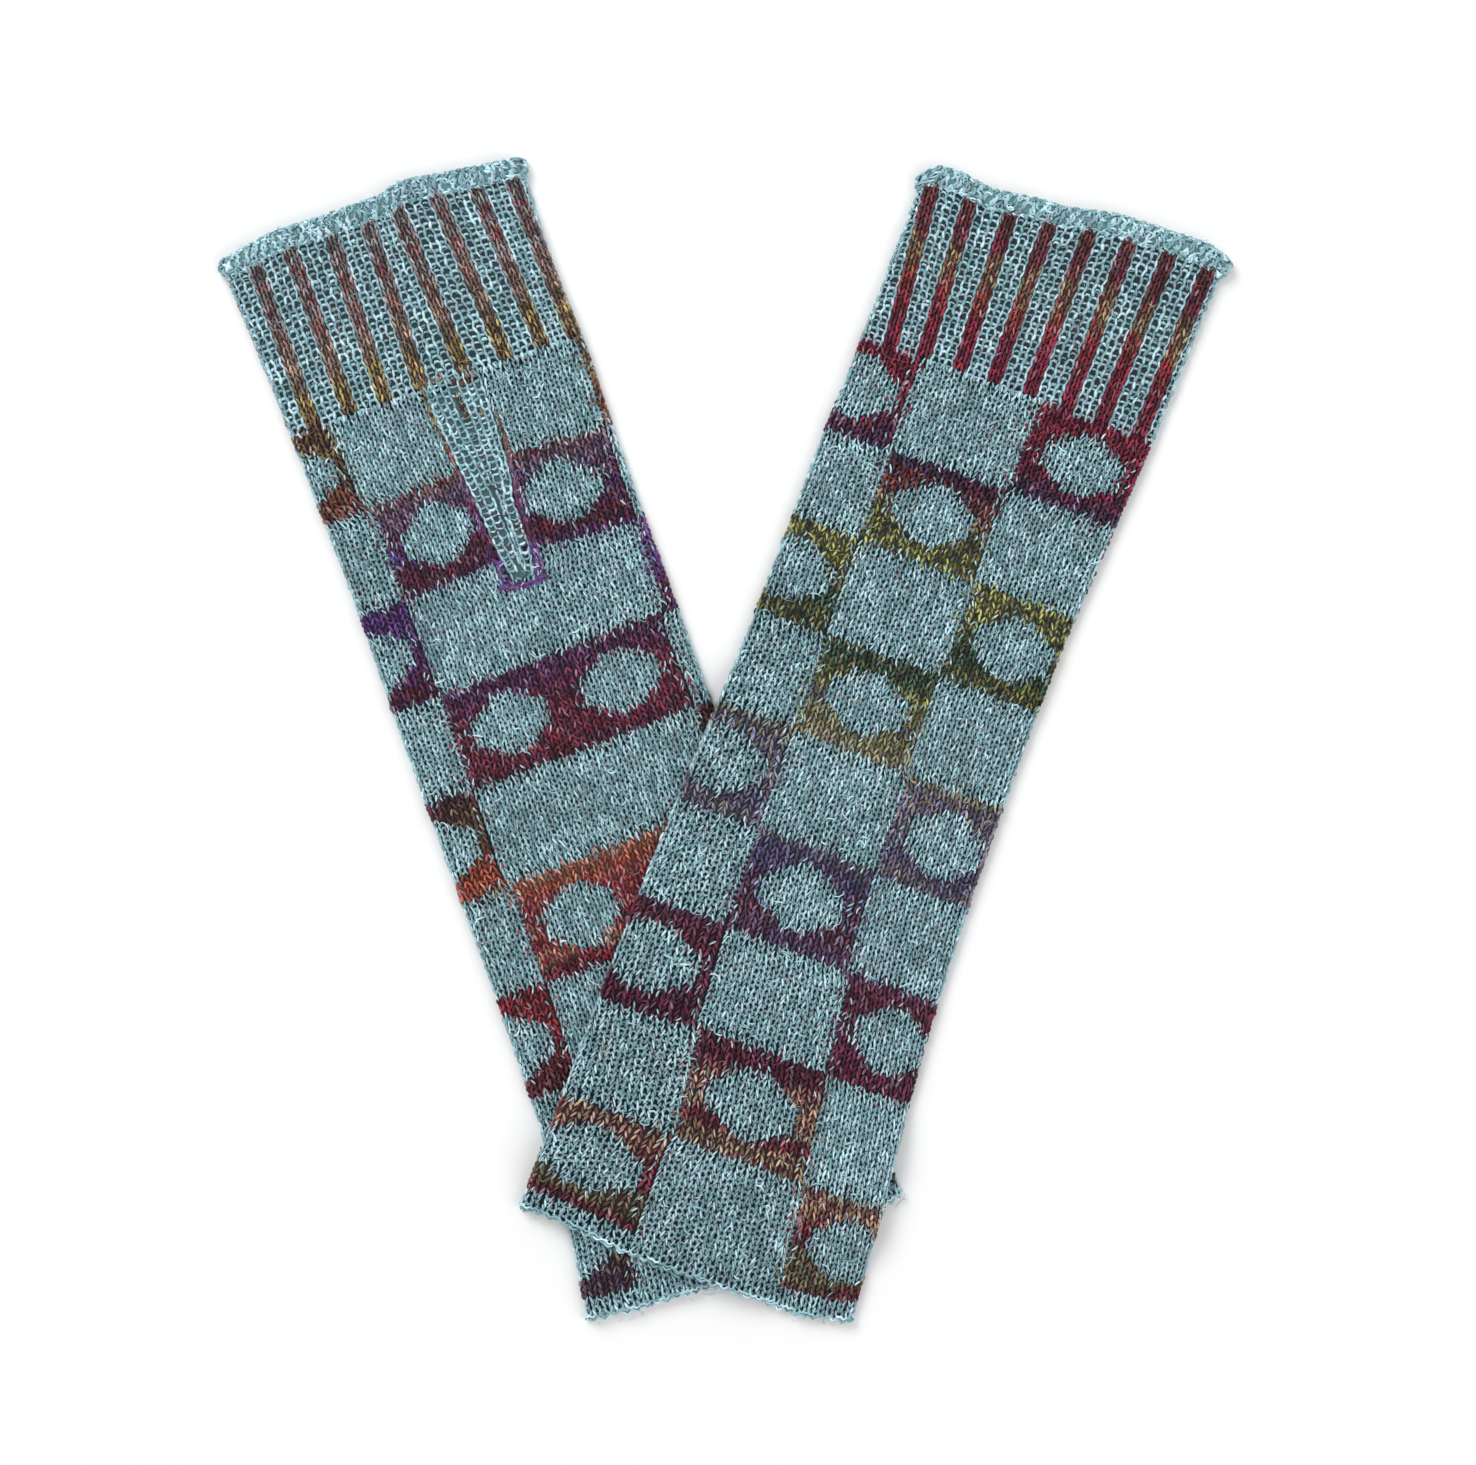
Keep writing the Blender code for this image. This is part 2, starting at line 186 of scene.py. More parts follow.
LEFT = Warmer(
    name="left",
    hand_end=(-105.1, 158.3),
    arm_end=(4.7, -154.0),
    edges=rows_of(
        Edge,
        (0, -47.6, 45.8), (10, -47.6, 45.8), (35, -46.2, 45.0), (60, -45.6, 46.4),
        (105, -44.2, 45.8), (150, -44.4, 46.4), (232, -43.6, 46.8), (275, -43.8, 48.2),
        (310, -46.4, 50.8), (334, -50.2, 51.8),
    ),
    hand_rim=rows_of(
        Rim,
        (-48, -1.2), (-37, -2.8), (-30, -4.2), (-14, -3.4), (4, -3.7), (9, -5.6), (14, -5.2),
        (28, -3.0), (46, -0.6),
    ),
    arm_rim=rows_of(Rim, (-50, 333.4), (-36, 335.2), (-8, 336.5), (40, 333.4), (52, 329.0)),
    rib_tops=(-39.0, -27.5, -14.5, -2.8, 6.5, 19.0, 31.0, 42.0),
    rib_feet=(-38.2, -26.5, -15.5, -4.0, 10.0, 23.0, 34.5, 44.2),
    swells=rows_of(
        Swell,
        (4.0, 64.0, 13.0, 20.0, 1.5), (6.0, 150.0, 5.0, 28.0, 0.5), (-24.0, 150.0, 16.0, 40.0, 0.7),
        (24.0, 100.0, 13.0, 30.0, 0.6), (-16.0, 215.0, 15.0, 30.0, 0.5),
    ),
    pulls=rows_of(
        Pull,
        (5, 108, 18, 16, -3.0), (5, 84, 22, 10, -1.6), (38, 156, 28, 26, -2.0),
        (28, 204, 25, 16, -1.6),
    ),
    drape=False,
    strips=rows_of(
        Strip,
        (55, -34.0, 44.8), (80, -33.0, 44.2), (86, -30.2, 43.6), (140, -29.9, 43.0),
        (147, -29.5, 40.8), (172, -29.6, 41.0), (198, -30.0, 42.0), (207, -28.2, 42.0),
        (300, -28.6, 43.5), (328, -32.6, 46.0),
    ),
    far_wale=26,
    seam_wale=13,
    rows=(55, 83.6, 113, 143.4, 172.8, 203.7, 234.6, 266, 297.6, 325.5),
    framed=(1, 1, 0, 1, 0),
    shades=rows_of(
        Shade,
        (5, STEEL, STEEL), (8, STEEL, MAROON), (10, STEEL, FLINT), (13, STEEL, CRIMSON),
        (16, STEEL, FLINT), (20, FLINT, CRIMSON), (24, STEEL, FLINT), (29, FLINT, SALMON),
        (33, FLINT, BROWN), (38, FLINT, PEACH), (41, BROWN, FLINT), (45, GOLD, BROWN),
        (52, GOLD, BROWN), (57, OLIVE_BROWN, WINE), (62, GOLD, WINE), (70, OLIVE_BROWN, BROWN),
        (79, RUST, BROWN), (84, FLINT, MAROON), (89, MAUVE, SLATE), (96, PURPLE, MAROON),
        (101, VIOLET, DARK_PLUM), (106, DARK_PLUM, MAROON), (111, DARK_PLUM, MAROON),
        (114, VIOLET, PURPLE), (126, PURPLE, VIOLET), (134, VIOLET, MAROON),
        (142, DARK_PLUM, MAROON), (146, PURPLE, DARK_PLUM), (150, MAROON, PURPLE),
        (156, DARK_PLUM, CRIMSON), (162, MAROON, PLUM), (167, CRIMSON, PLUM),
        (172, MAROON, DARK_PLUM), (176, WINE, BROWN), (180, WINE, OLIVE_BROWN),
        (186, BROWN, OLIVE_BROWN), (194, RUST, BRICK), (202, ORANGE, BRICK), (205, BRICK, PEACH),
        (208, BRICK, ORANGE), (211, CRIMSON, SALMON), (215, CRIMSON, BRICK), (220, CRIMSON, SALMON),
        (225, CRIMSON, BRICK), (229, CRIMSON, PEACH), (231.5, CRIMSON, WINE), (245, CRIMSON, BRICK),
        (262, MAROON, WINE), (285, DARK_PLUM, MAROON), (305, DARK_PLUM, TAN),
        (318, DARK_PLUM, BROWN),
    ),
    seed=11,
)

RIGHT = Warmer(
    name="right",
    hand_end=(104.6, 156.8),
    arm_end=(-11.2, -155.8),
    edges=rows_of(
        Edge,
        (0, -46.4, 47.6), (10, -46.5, 46.4), (60, -47.1, 44.9), (90, -48.1, 43.2),
        (120, -48.2, 41.4), (150, -48.6, 41.0), (197, -50.8, 41.6), (242, -52.2, 43.6),
        (270, -52.6, 46.0), (300, -52.4, 49.2), (335, -53.0, 52.4),
    ),
    hand_rim=rows_of(
        Rim,
        (-48, 4.0), (-43, 0.2), (-36, -0.3), (-26, 1.4), (-12, -0.9), (-4, -1.3), (12, -4.9),
        (40, -6.0), (48, -3.8),
    ),
    arm_rim=rows_of(Rim, (-53, 336.2), (-43, 335.0), (-20, 337.4), (38, 337.1), (53, 333.4)),
    rib_tops=(-43.2, -31.0, -18.5, -6.3, 5.8, 18.0, 30.5, 43.0),
    rib_feet=(-38.5, -28.0, -16.5, -5.8, 5.5, 17.5, 28.5, 40.5),
    swells=rows_of(
        Swell,
        (-22.0, 95.0, 15.0, 34.0, 0.6), (22.0, 140.0, 16.0, 42.0, 0.7),
        (-24.0, 205.0, 16.0, 26.0, 0.8), (20.0, 250.0, 18.0, 40.0, 0.6),
        (-2.0, 326.0, 16.0, 13.0, 0.8),
    ),
    pulls=rows_of(
        Pull,
        (-40, 84, 24, 12, 1.2), (36, 84, 24, 12, -0.9), (32, 190, 30, 28, 1.7),
        (-46, 266, 22, 14, 1.6),
    ),
    drape=True,
    strips=rows_of(
        Strip,
        (55, -28.5, 10.0), (82, -28.4, 9.7), (88, -27.0, 8.8), (112, -27.1, 9.2),
        (118, -27.2, 10.2), (142, -27.0, 10.1), (148, -25.8, 9.6), (171, -25.6, 9.8),
        (177, -25.9, 11.5), (204, -25.4, 12.0), (235, -24.3, 14.2), (241, -24.0, 16.2),
        (264, -22.6, 18.5), (270, -20.6, 19.9), (298, -17.0, 23.3), (304, -18.3, 25.3),
        (331, -18.3, 28.8),
    ),
    far_wale=13,
    seam_wale=39,
    rows=(55, 84, 113, 143, 173, 204, 235, 266, 298.8, 326.8),
    framed=(1, 0, 1, 1, 0),
    shades=rows_of(
        Shade,
        (4, BROWN, MAROON), (10, MAROON, BROWN), (17, MAROON, BURGUNDY), (23, MAROON, OCHRE),
        (29, MAROON, OCHRE), (34, CRIMSON, RUST), (40, CRIMSON, MAROON), (46, CRIMSON, BURGUNDY),
        (66, CRIMSON, BURGUNDY), (76, CRIMSON, DARK_PLUM), (81, BURGUNDY, NAVY),
        (85, DARK_PLUM, NAVY), (88, MAROON, INK), (92, RUST, DARK_PLUM), (98, OCHRE, DARK_PLUM),
        (104, INK, OLIVE), (112, INK, LIME), (124, INK, LIME), (134, FOREST, INK),
        (140, INK, OLIVE), (147, FOREST, INK), (154, INK, LIME), (161, OLIVE, SLATE),
        (167, STONE, OLIVE), (172, OCHRE, STONE), (177, STONE, SLATE), (181, STONE, LAVENDER),
        (188, STONE, LAVENDER), (197, GREY_PURPLE, SLATE), (203, GREY_PURPLE, STONE),
        (208, SLATE, GREY_PURPLE), (217, SLATE, PLUM), (227, GREY_PURPLE, MAROON),
        (233, PLUM, SLATE), (238, PLUM, MAROON), (254, BURGUNDY, DARK_PLUM), (268, BURGUNDY, WINE),
        (272, BURGUNDY, WINE), (276, PEACH, BURGUNDY), (287, TAN, BURGUNDY), (289, CRIMSON, WINE),
        (291, CRIMSON, WINE), (293, TAN, WINE), (299, TAN, BURGUNDY), (305, PEACH, BURGUNDY),
        (309, CRIMSON, WINE), (314, MAROON, BURGUNDY), (316, LICHEN, WINE),
        (323.5, LICHEN, OLIVE_BROWN), (325.2, MAROON, WINE),
    ),
    seed=29,
)

WARMERS = (LEFT, RIGHT)


# ---------------------------------------------------------------- small helpers


def linear(colour):
    """An sRGB colour as linear light."""
    c = np.asarray(colour, float)
    return np.where(c <= 0.04045, c / 12.92, ((c + 0.055) / 1.055) ** 2.4)


def read(table, column, at):
    """A table's column at many places along its first column."""
    where = [row[0] for row in table]
    return np.interp(at, where, [getattr(row, column) for row in table])


def smooth(x):
    """0 to 1 as x goes from 0 to 1, with a level start and end."""
    x = np.clip(x, 0.0, 1.0)
    return x * x * (3 - 2 * x)


def scatter(seed, *keys):
    """A fixed number from 0 to 1 for each set of whole-number keys, like a shuffled table."""
    total = np.zeros(np.broadcast(*keys).shape) + seed * 17.31
    for factor, key in zip((12.9898, 78.233, 37.719), keys):
        total = total + np.asarray(key, float) * factor
    return np.abs(np.sin(total) * 43758.5453) % 1.0


def ripple(seed, x, y):
    """Smooth noise from -1 to 1: values at whole numbers, blended between neighbours."""
    x0, y0 = np.floor(x), np.floor(y)
    fx, fy = smooth(x - x0), smooth(y - y0)
    low = scatter(seed, x0, y0) * (1 - fx) + scatter(seed, x0 + 1, y0) * fx
    high = scatter(seed, x0, y0 + 1) * (1 - fx) + scatter(seed, x0 + 1, y0 + 1) * fx
    return (low * (1 - fy) + high * fy) * 2 - 1


def picks(seed, count, number, key):
    """Columns of fixed random numbers from 0 to 1, one row for each strand."""
    return [scatter(seed + n, np.arange(count), key)[:, None] for n in range(number)]


def jitter(seed, count, number, key=3):
    """The same from -0.5 to 0.5."""
    return [column - 0.5 for column in picks(seed, count, number, key)]


def grid(*axes):
    """Every combination of the axes' values, as one flat table for each axis."""
    return [table.ravel() for table in np.meshgrid(*axes, indexing="ij")]


def hump(u):
    """1 in a strand's middle and 0 at its ends, where u is -0.5 and 0.5."""
    return 1 - 4 * u * u


def arched(u):
    """The same, rounder, for u from 0 to 1."""
    return np.sin(pi * u) ** 0.8


def turned(a, t, turn, along, aside):
    """Places along a strand round a middle at a and t, turned by an angle."""
    return (
        a + np.cos(turn) * along - np.sin(turn) * aside,
        t + np.sin(turn) * along + np.cos(turn) * aside,
    )


def width(outline, t):
    """How wide an outline is at t."""
    return read(outline, "right", t) - read(outline, "left", t)


# ---------------------------------------------------------------- the flattened tubes


def directions(warmer):
    """The warmer's along and across directions on the table, and its length."""
    along = np.subtract(warmer.arm_end, warmer.hand_end)
    length = np.hypot(*along)
    along = along / length
    return along, np.array((-along[1], along[0])), length


def humps(rows, column, s, t):
    """A sum of round bumps, each as high as its row's column says, fading with distance."""
    total = 0
    for row in rows:
        reach = ((s - row.s) / row.across) ** 2 + ((t - row.t) / row.along) ** 2
        total = total + getattr(row, column) * np.exp(-reach)
    return total


def lift(x, y):
    """How far the lower warmer holds the upper one off the table: fully over it and a
    margin round it, then falling smoothly."""
    along, across, _ = directions(LEFT)
    dx, dy = x - LEFT.hand_end[0], y - LEFT.hand_end[1]
    s, t = dx * across[0] + dy * across[1], dx * along[0] + dy * along[1]
    beside = np.maximum(read(LEFT.edges, "left", t) - s, s - read(LEFT.edges, "right", t))
    past = t - read(LEFT.arm_rim, "t", s)
    away = np.hypot(np.maximum(beside, 0), np.maximum(past, 0))
    full = THICK + humps(LEFT.swells, "height", s, t) + LAY_GAP
    return full * (1 - smooth((away - FALL_MARGIN) / FALL))


def girth(warmer, t):
    """The distance round the tube at t."""
    return 2 * (width(warmer.edges, t) - 2 * FOLD) + 2 * pi * FOLD


def place(warmer, a, t, out):
    """Points on the table for places on the tube.

    A point goes round the left fold, along the top, round the right fold and back
    underneath. It stands out from the cloth's outer face by out, the upper layer rises
    with the swells, the pulls draw rows along, and the upper warmer is lifted over the
    lower one.
    """
    around = girth(warmer, t)
    a = np.mod(a, around)
    under = a > around / 2
    a = np.where(under, around - a, a)
    quarter = FOLD * pi / 2
    left = read(warmer.edges, "left", t)
    flat = around / 2 - 2 * quarter
    tilt = np.clip(a, 0, quarter) / FOLD - pi / 2
    tilt = tilt + np.clip(a - quarter - flat, 0, quarter) / FOLD
    up = np.cos(tilt) * np.where(under, -1.0, 1.0)
    s = left + FOLD + np.clip(a - quarter, 0, flat) + np.sin(tilt) * (FOLD + out)
    z = FOLD + up * (FOLD + out) + humps(warmer.swells, "height", s, t) * np.maximum(up, 0)
    along, across, length = directions(warmer)
    hand = read(warmer.hand_rim, "t", s) * np.clip(1 - t / RIM_FADE, 0, 1)
    arm = (read(warmer.arm_rim, "t", s) - length) * np.clip((t - length) / ARM_FADE + 1, 0, 1)
    t = t + hand + arm + humps(warmer.pulls, "shift", s, t)
    x = warmer.hand_end[0] + s * across[0] + t * along[0]
    y = warmer.hand_end[1] + s * across[1] + t * along[1]
    if warmer.drape:
        z = z + lift(x, y)
    return np.stack((x, y, z), axis=-1)


def above_table(warmer, a, t, out):
    """The same as one list of points, none of them below the table."""
    points = place(warmer, a, t, out).reshape(-1, 3)
    points[:, 2] = np.maximum(points[:, 2], TABLE_GAP)
    return points


def settled(warmer, a, t, out, room):
    """The height off the cloth, held back underneath so that it stays room above the
    table. The sine of the way round a side fold says how far a place faces down."""
    around = girth(warmer, t)
    a = np.mod(a, around)
    turn = np.clip(np.minimum(a - around / 2, around - a) / FOLD, 0, pi / 2)
    return np.minimum(out, (FOLD - room) / np.maximum(np.sin(turn), 0.05) - FOLD)


def across_to_a(warmer, s, t):
    """The distance round the tube of a place on its flat top."""
    return s - read(warmer.edges, "left", t) - FOLD + FOLD * pi / 2


def on_palm(warmer, a, t):
    """A place on the palm from one on the top: the right warmer has it underneath."""
    return girth(warmer, t) - a if warmer.drape else a


def palm_seam(warmer, t):
    """The palm seam's place round the tube."""
    s = SEAM[0].s + (t - SEAM[0].t) * SEAM_SLANT
    return on_palm(warmer, across_to_a(warmer, s, t), t)


def borders(warmer, t):
    """The wales where strips of blocks meet, each with its place round the tube. The
    palm seam has two, which the gusset parts."""
    near = across_to_a(warmer, read(warmer.strips, "near", t), t)
    far = across_to_a(warmer, read(warmer.strips, "far", t), t)
    palm = palm_seam(warmer, t)
    room = GUSSET_ROOM * width(GUSSET, t) * smooth((GUSSET[-1].t + 2 - t) / 6) / 2
    seam = [(warmer.seam_wale, palm - room), (warmer.seam_wale, palm + room)]
    other = [(warmer.far_wale, far)]
    between = seam + other if warmer.seam_wale < warmer.far_wale else other + seam
    return [(0, near)] + between + [(WALES, near + girth(warmer, t))]


def wale_to_a(warmer, wale, t, home=None):
    """The distance round the tube of a place counted in wales from the first border,
    spaced evenly between borders. home is a wale on the place's side of the seam."""
    home = wale if home is None else home
    turns = np.floor(home / WALES)
    wale, home = wale - turns * WALES, home - turns * WALES
    knots = borders(warmer, t)
    a = knots[0][1] + turns * girth(warmer, t)
    last = len(knots) - 2
    for k, ((low, start), (high, end)) in enumerate(zip(knots, knots[1:])):
        if high > low:
            here = wale if k == 0 else np.maximum(wale, low)
            here = here if k == last else np.minimum(here, high)
            a = a + (here - low) / (high - low) * (end - start)
        else:
            a = a + (home >= low) * (end - start)
    return a


def a_to_wale(warmer, a, t):
    """The wale at a place round the tube."""
    knots = borders(warmer, t)
    a = np.mod(a - knots[0][1], girth(warmer, t))
    wale = 0
    for (low, start), (high, end) in zip(knots, knots[1:]):
        share = (a - start + knots[0][1]) / np.maximum(end - start, 1e-6)
        wale = wale + np.clip(share, 0, 1) * (high - low)
    return wale


def course_to_t(warmer, course):
    """The distance from the hand end of a place counted in courses below the ribs."""
    row = course / BLOCK_COURSES
    below = np.maximum(row - BLOCK_ROWS, 0) * BLOCK_COURSES * HEM_COURSE
    return np.interp(row, np.arange(BLOCK_ROWS + 1), warmer.rows) + below


def rib_middles(warmer, t):
    """The ribs' middles round the tube: eight on the top, and as many spaced evenly
    between the last of them and the first, underneath."""
    share = np.clip((t - RIB_TOP) / (CUFF - RIB_TOP), 0, 1)
    tops = [
        across_to_a(warmer, top + (foot - top) * share, t)
        for top, foot in zip(warmer.rib_tops, warmer.rib_feet)
    ]
    gap = (girth(warmer, t) + tops[0] - tops[-1]) / (UNDER_RIBS + 1)
    return np.stack(tops + [tops[-1] + gap * (k + 1) for k in range(UNDER_RIBS)])


def from_rib(warmer, a, t):
    """How far places are from the middle of the nearest rib."""
    around = girth(warmer, t)
    away = np.abs(np.mod(a - rib_middles(warmer, t) + around / 2, around) - around / 2)
    return away.min(axis=0)


def relief(warmer, a, t):
    """How far the ribs stand out: flat crests with soft sides, fading at both ends."""
    crest = 1 - smooth((from_rib(warmer, a, t) - RIB_WALE + RIB_FALL / 2) / RIB_FALL)
    ends = smooth((t - RIB_TOP + 1) / 2) * smooth((CUFF + 1 - t) / 2)
    return RIB_RAISE * crest * ends


def seam_dip(warmer, a, t):
    """How deep the groove of the palm seam is. It runs on from the gusset's foot."""
    away = np.mod(a, girth(warmer, t)) - palm_seam(warmer, t)
    return SEAM_DEPTH * np.exp(-(away**2)) * (t > GUSSET[-1].t)


def in_gusset(warmer, a, t, grown):
    """Whether places fall in the gusset's outline, let out by grown."""
    middle = (read(GUSSET, "left", t) + read(GUSSET, "right", t)) / 2
    at = on_palm(warmer, across_to_a(warmer, middle, t), t)
    away = np.abs(np.mod(a, girth(warmer, t)) - at)
    inside = (t > GUSSET[0].t - grown) & (t < GUSSET[-1].t + grown)
    return inside & (away < width(GUSSET, t) / 2 + grown)


# ---------------------------------------------------------------- the chart


def is_contrast(warmer, wale, course):
    """The chart: framed blocks alternate with plain ones along each strip of blocks, and
    each framed block has an oval window of the ground colour. Hem courses are plain."""
    strip = (wale // BLOCK_WALES).astype(int)
    row = (course // BLOCK_COURSES).astype(int)
    framed = (row + np.array(warmer.framed)[strip]) % 2 == 0
    x = wale % BLOCK_WALES - (BLOCK_WALES - 1) / 2
    y = course % BLOCK_COURSES - (BLOCK_COURSES - 1) / 2
    window = np.abs(x / OVAL_WALES) ** OVAL_POWER + np.abs(y / OVAL_COURSES) ** OVAL_POWER <= 1
    return framed & ~window & (row < BLOCK_ROWS)


def over_contrast(warmer, a, t):
    """Whether places on the tube fall on a contrast stitch or a contrast rib."""
    wale = a_to_wale(warmer, a, t)
    courses = np.arange(COURSES + 1.0)
    course = np.floor(np.interp(t, course_to_t(warmer, courses), courses, left=-1))
    blocks = is_contrast(warmer, np.floor(wale), np.maximum(course, 0)) & (course >= 0)
    return blocks | ((from_rib(warmer, a, t) < RIB_WALE) & (t > RIB_TOP) & (t < CUFF))


def plies(warmer, t):
    """The two plies of the contrast yarn at t, as linear colours."""
    at = [row.t for row in warmer.shades]
    made = []
    for ply in ("one", "two"):
        stops = np.array([linear(getattr(row, ply)) for row in warmer.shades])
        colour = np.stack([np.interp(t, at, stops[:, k]) for k in range(3)], axis=-1)
        made.append(colour * (1 - HAZE_SHARE) + linear(HAZE) * HAZE_SHARE)
    return made


def yarn_colour(one, two, turn, light):
    """Two plies twisted together: the share of each follows turn, a phase along the
    yarn, and light makes a whole leg paler or darker."""
    share = 0.5 + 0.5 * np.tanh(3.0 * (np.sin(turn) - PLY_LEAN))
    return (one * (1 - share[..., None]) + two * share[..., None]) * light[..., None]


# ---------------------------------------------------------------- meshes from arrays


def make_mesh(name, points, faces, place_uv, colours, material):
    """A mesh from a table of points and a list of face tables, with a layout map and a
    colour for each point."""
    mesh = bpy.data.meshes.new(name)
    corners = np.concatenate([table.ravel() for table in faces])
    totals = np.concatenate([np.full(len(table), table.shape[1]) for table in faces])
    mesh.vertices.add(len(points))
    mesh.vertices.foreach_set("co", (points * MM).ravel())
    mesh.loops.add(len(corners))
    mesh.loops.foreach_set("vertex_index", corners)
    mesh.polygons.add(len(totals))
    mesh.polygons.foreach_set("loop_start", np.concatenate(([0], np.cumsum(totals)[:-1])))
    mesh.polygons.foreach_set("loop_total", totals)
    mesh.polygons.foreach_set("use_smooth", np.full(len(totals), True))
    mesh.update(calc_edges=True)
    layout = mesh.uv_layers.new(name="OFBake")
    layout.uv.foreach_set("vector", place_uv[corners].ravel())
    painted = mesh.color_attributes.new("yarn", "FLOAT_COLOR", "POINT")
    full = np.concatenate((colours, np.ones((len(colours), 1))), axis=1)
    painted.data.foreach_set("color", full.ravel())
    mesh.validate()
    mesh.materials.append(material)
    made = bpy.data.objects.new(name, mesh)
    bpy.context.scene.collection.objects.link(made)
    return made


def inset(share, margin):
    """A share of the layout map's side, inside a margin."""
    return margin + (1 - 2 * margin) * share


def layout_of(warmer, a, t):
    """A place on the layout map, which is the tube cut along its left fold."""
    around = girth(warmer, t)
    u = np.mod(a + around / 4, around) / around
    down = (t + 8) / (directions(warmer)[2] + 20)
    return np.stack((inset(u, 0.01), inset(down, 0.02)), axis=-1)


def sideways(a, t):
    """The direction across each strand at each of its points."""
    da, dt = np.gradient(a, axis=1), np.gradient(t, axis=1)
    run = np.maximum(np.hypot(da, dt), 1e-9)
    return -dt / run, da / run


def spindles(a, t, out, radius, colours):
    """Closed strands of yarn, pointed at both ends.

    a, t, out and radius are tables with a row for each strand and a column for each
    point along it, and colours has one more column for the corners of a ring. Each
    inner point gets a ring with one corner on top. Returns places, faces and colours.
    """
    count, steps = a.shape
    side_a, side_t = sideways(a, t)
    wide, tall = np.cos(CORNER_ANGLES), np.sin(CORNER_ANGLES)
    inner = slice(1, steps - 1)

    def with_rings(middle, side, unit):
        """One measure of every point: the strand's start, its rings and its end."""
        ring = middle[:, inner, None] + side[:, inner, None] * unit * radius[:, inner, None]
        whole = (middle[:, :1], ring.reshape(count, -1), middle[:, -1:])
        return np.concatenate(whole, axis=1).ravel()

    ends = colours[:, :, 0]
    tint = (ends[:, :1], colours[:, inner].reshape(count, -1, 3), ends[:, -1:])
    tint = np.concatenate(tint, axis=1).reshape(-1, 3)
    each = 2 + (steps - 2) * CORNERS
    k = np.arange(CORNERS)
    after = (k + 1) % CORNERS
    start = 1 + np.arange(steps - 3)[:, None] * CORNERS
    walls = np.stack((start + k, start + k + CORNERS, start + after + CORNERS, start + after), -1)
    last = 1 + (steps - 3) * CORNERS
    head = np.stack((np.zeros(CORNERS, int), 1 + k, 1 + after), -1)
    tail = np.stack((np.full(CORNERS, each - 1), last + after, last + k), -1)
    base = (np.arange(count) * each)[:, None, None]
    faces = [(walls.reshape(-1, 4) + base).reshape(-1, 4)]
    faces += [(table + base).reshape(-1, 3) for table in (head, tail)]
    all_a, all_t = with_rings(a, side_a, wide), with_rings(t, side_t, wide)
    return all_a, all_t, with_rings(out, np.ones_like(a), tall), faces, tint


def ribbons(a, t, out, half, colours):
    """Flat strands of yarn lying on the cloth, one row of places for each. half is half
    their width, and colours has one colour for each place. Returns as spindles does."""
    count, steps = a.shape
    edge = np.array([-1.0, 1.0])
    places = [
        (middle[..., None] + (side * half)[..., None] * edge).ravel()
        for middle, side in zip((a, t), sideways(a, t))
    ]
    start = np.arange(count)[:, None] * 2 * steps + np.arange(steps - 1) * 2
    faces = np.stack((start, start + 1, start + 3, start + 2), axis=-1).reshape(-1, 4)
    tint = np.repeat(colours[:, :, None], 2, axis=2).reshape(-1, 3)
    return places + [np.repeat(out[..., None], 2, axis=-1).ravel(), [faces], tint]


def yarn_object(warmer, title, parts, material):
    """One object from several sets of strands on a warmer."""
    a, t, out, tints = (np.concatenate([part[k] for part in parts]) for k in (0, 1, 2, 4))
    starts = np.cumsum([0] + [len(part[0]) for part in parts])
    faces = [table + start for part, start in zip(parts, starts) for table in part[3]]
    points, layout = above_table(warmer, a, t, out), layout_of(warmer, a, t)
    return make_mesh(f"{warmer.name}_{title}", points, faces, layout, tints, material)


# ---------------------------------------------------------------- materials


def times_plus(tree, value, factor, extra):
    """A node for value times factor plus extra, each a number or another node's socket."""
    node = tree.nodes.new("ShaderNodeMath")
    node.operation = "MULTIPLY_ADD"
    for port, given in zip(node.inputs, (value, factor, extra)):
        if isinstance(given, float):
            port.default_value = given
        else:
            tree.links.new(given, port)
    return node.outputs[0]


def fibre_group():
    """Wool fibre: a colour mottled by fine noise, and a height for its fuzz."""
    group = bpy.data.node_groups.new("wool_fibre", "ShaderNodeTree")
    ports, nodes, join = group.interface, group.nodes, group.links.new
    ports.new_socket("Colour", in_out="INPUT", socket_type="NodeSocketColor")
    for title, value in (("Mottle", 0.2), ("Fibre Scale", 4000.0)):
        ports.new_socket(title, in_out="INPUT", socket_type="NodeSocketFloat").default_value = value
    ports.new_socket("Colour", in_out="OUTPUT", socket_type="NodeSocketColor")
    ports.new_socket("Height", in_out="OUTPUT", socket_type="NodeSocketFloat")
    given, made = nodes.new("NodeGroupInput"), nodes.new("NodeGroupOutput")
    where, noise = nodes.new("ShaderNodeTexCoord"), nodes.new("ShaderNodeTexNoise")
    noise.inputs["Detail"].default_value = 3.0
    join(where.outputs["Object"], noise.inputs["Vector"])
    join(given.outputs["Fibre Scale"], noise.inputs["Scale"])
    centred = times_plus(group, noise.outputs["Fac"], 2.0, -1.0)
    scaled = times_plus(group, centred, given.outputs["Mottle"], 1.0)
    tinted = nodes.new("ShaderNodeVectorMath")
    tinted.operation = "SCALE"
    join(given.outputs["Colour"], tinted.inputs[0])
    join(scaled, tinted.inputs["Scale"])
    join(tinted.outputs[0], made.inputs["Colour"])
    join(noise.outputs["Fac"], made.inputs["Height"])
    return group


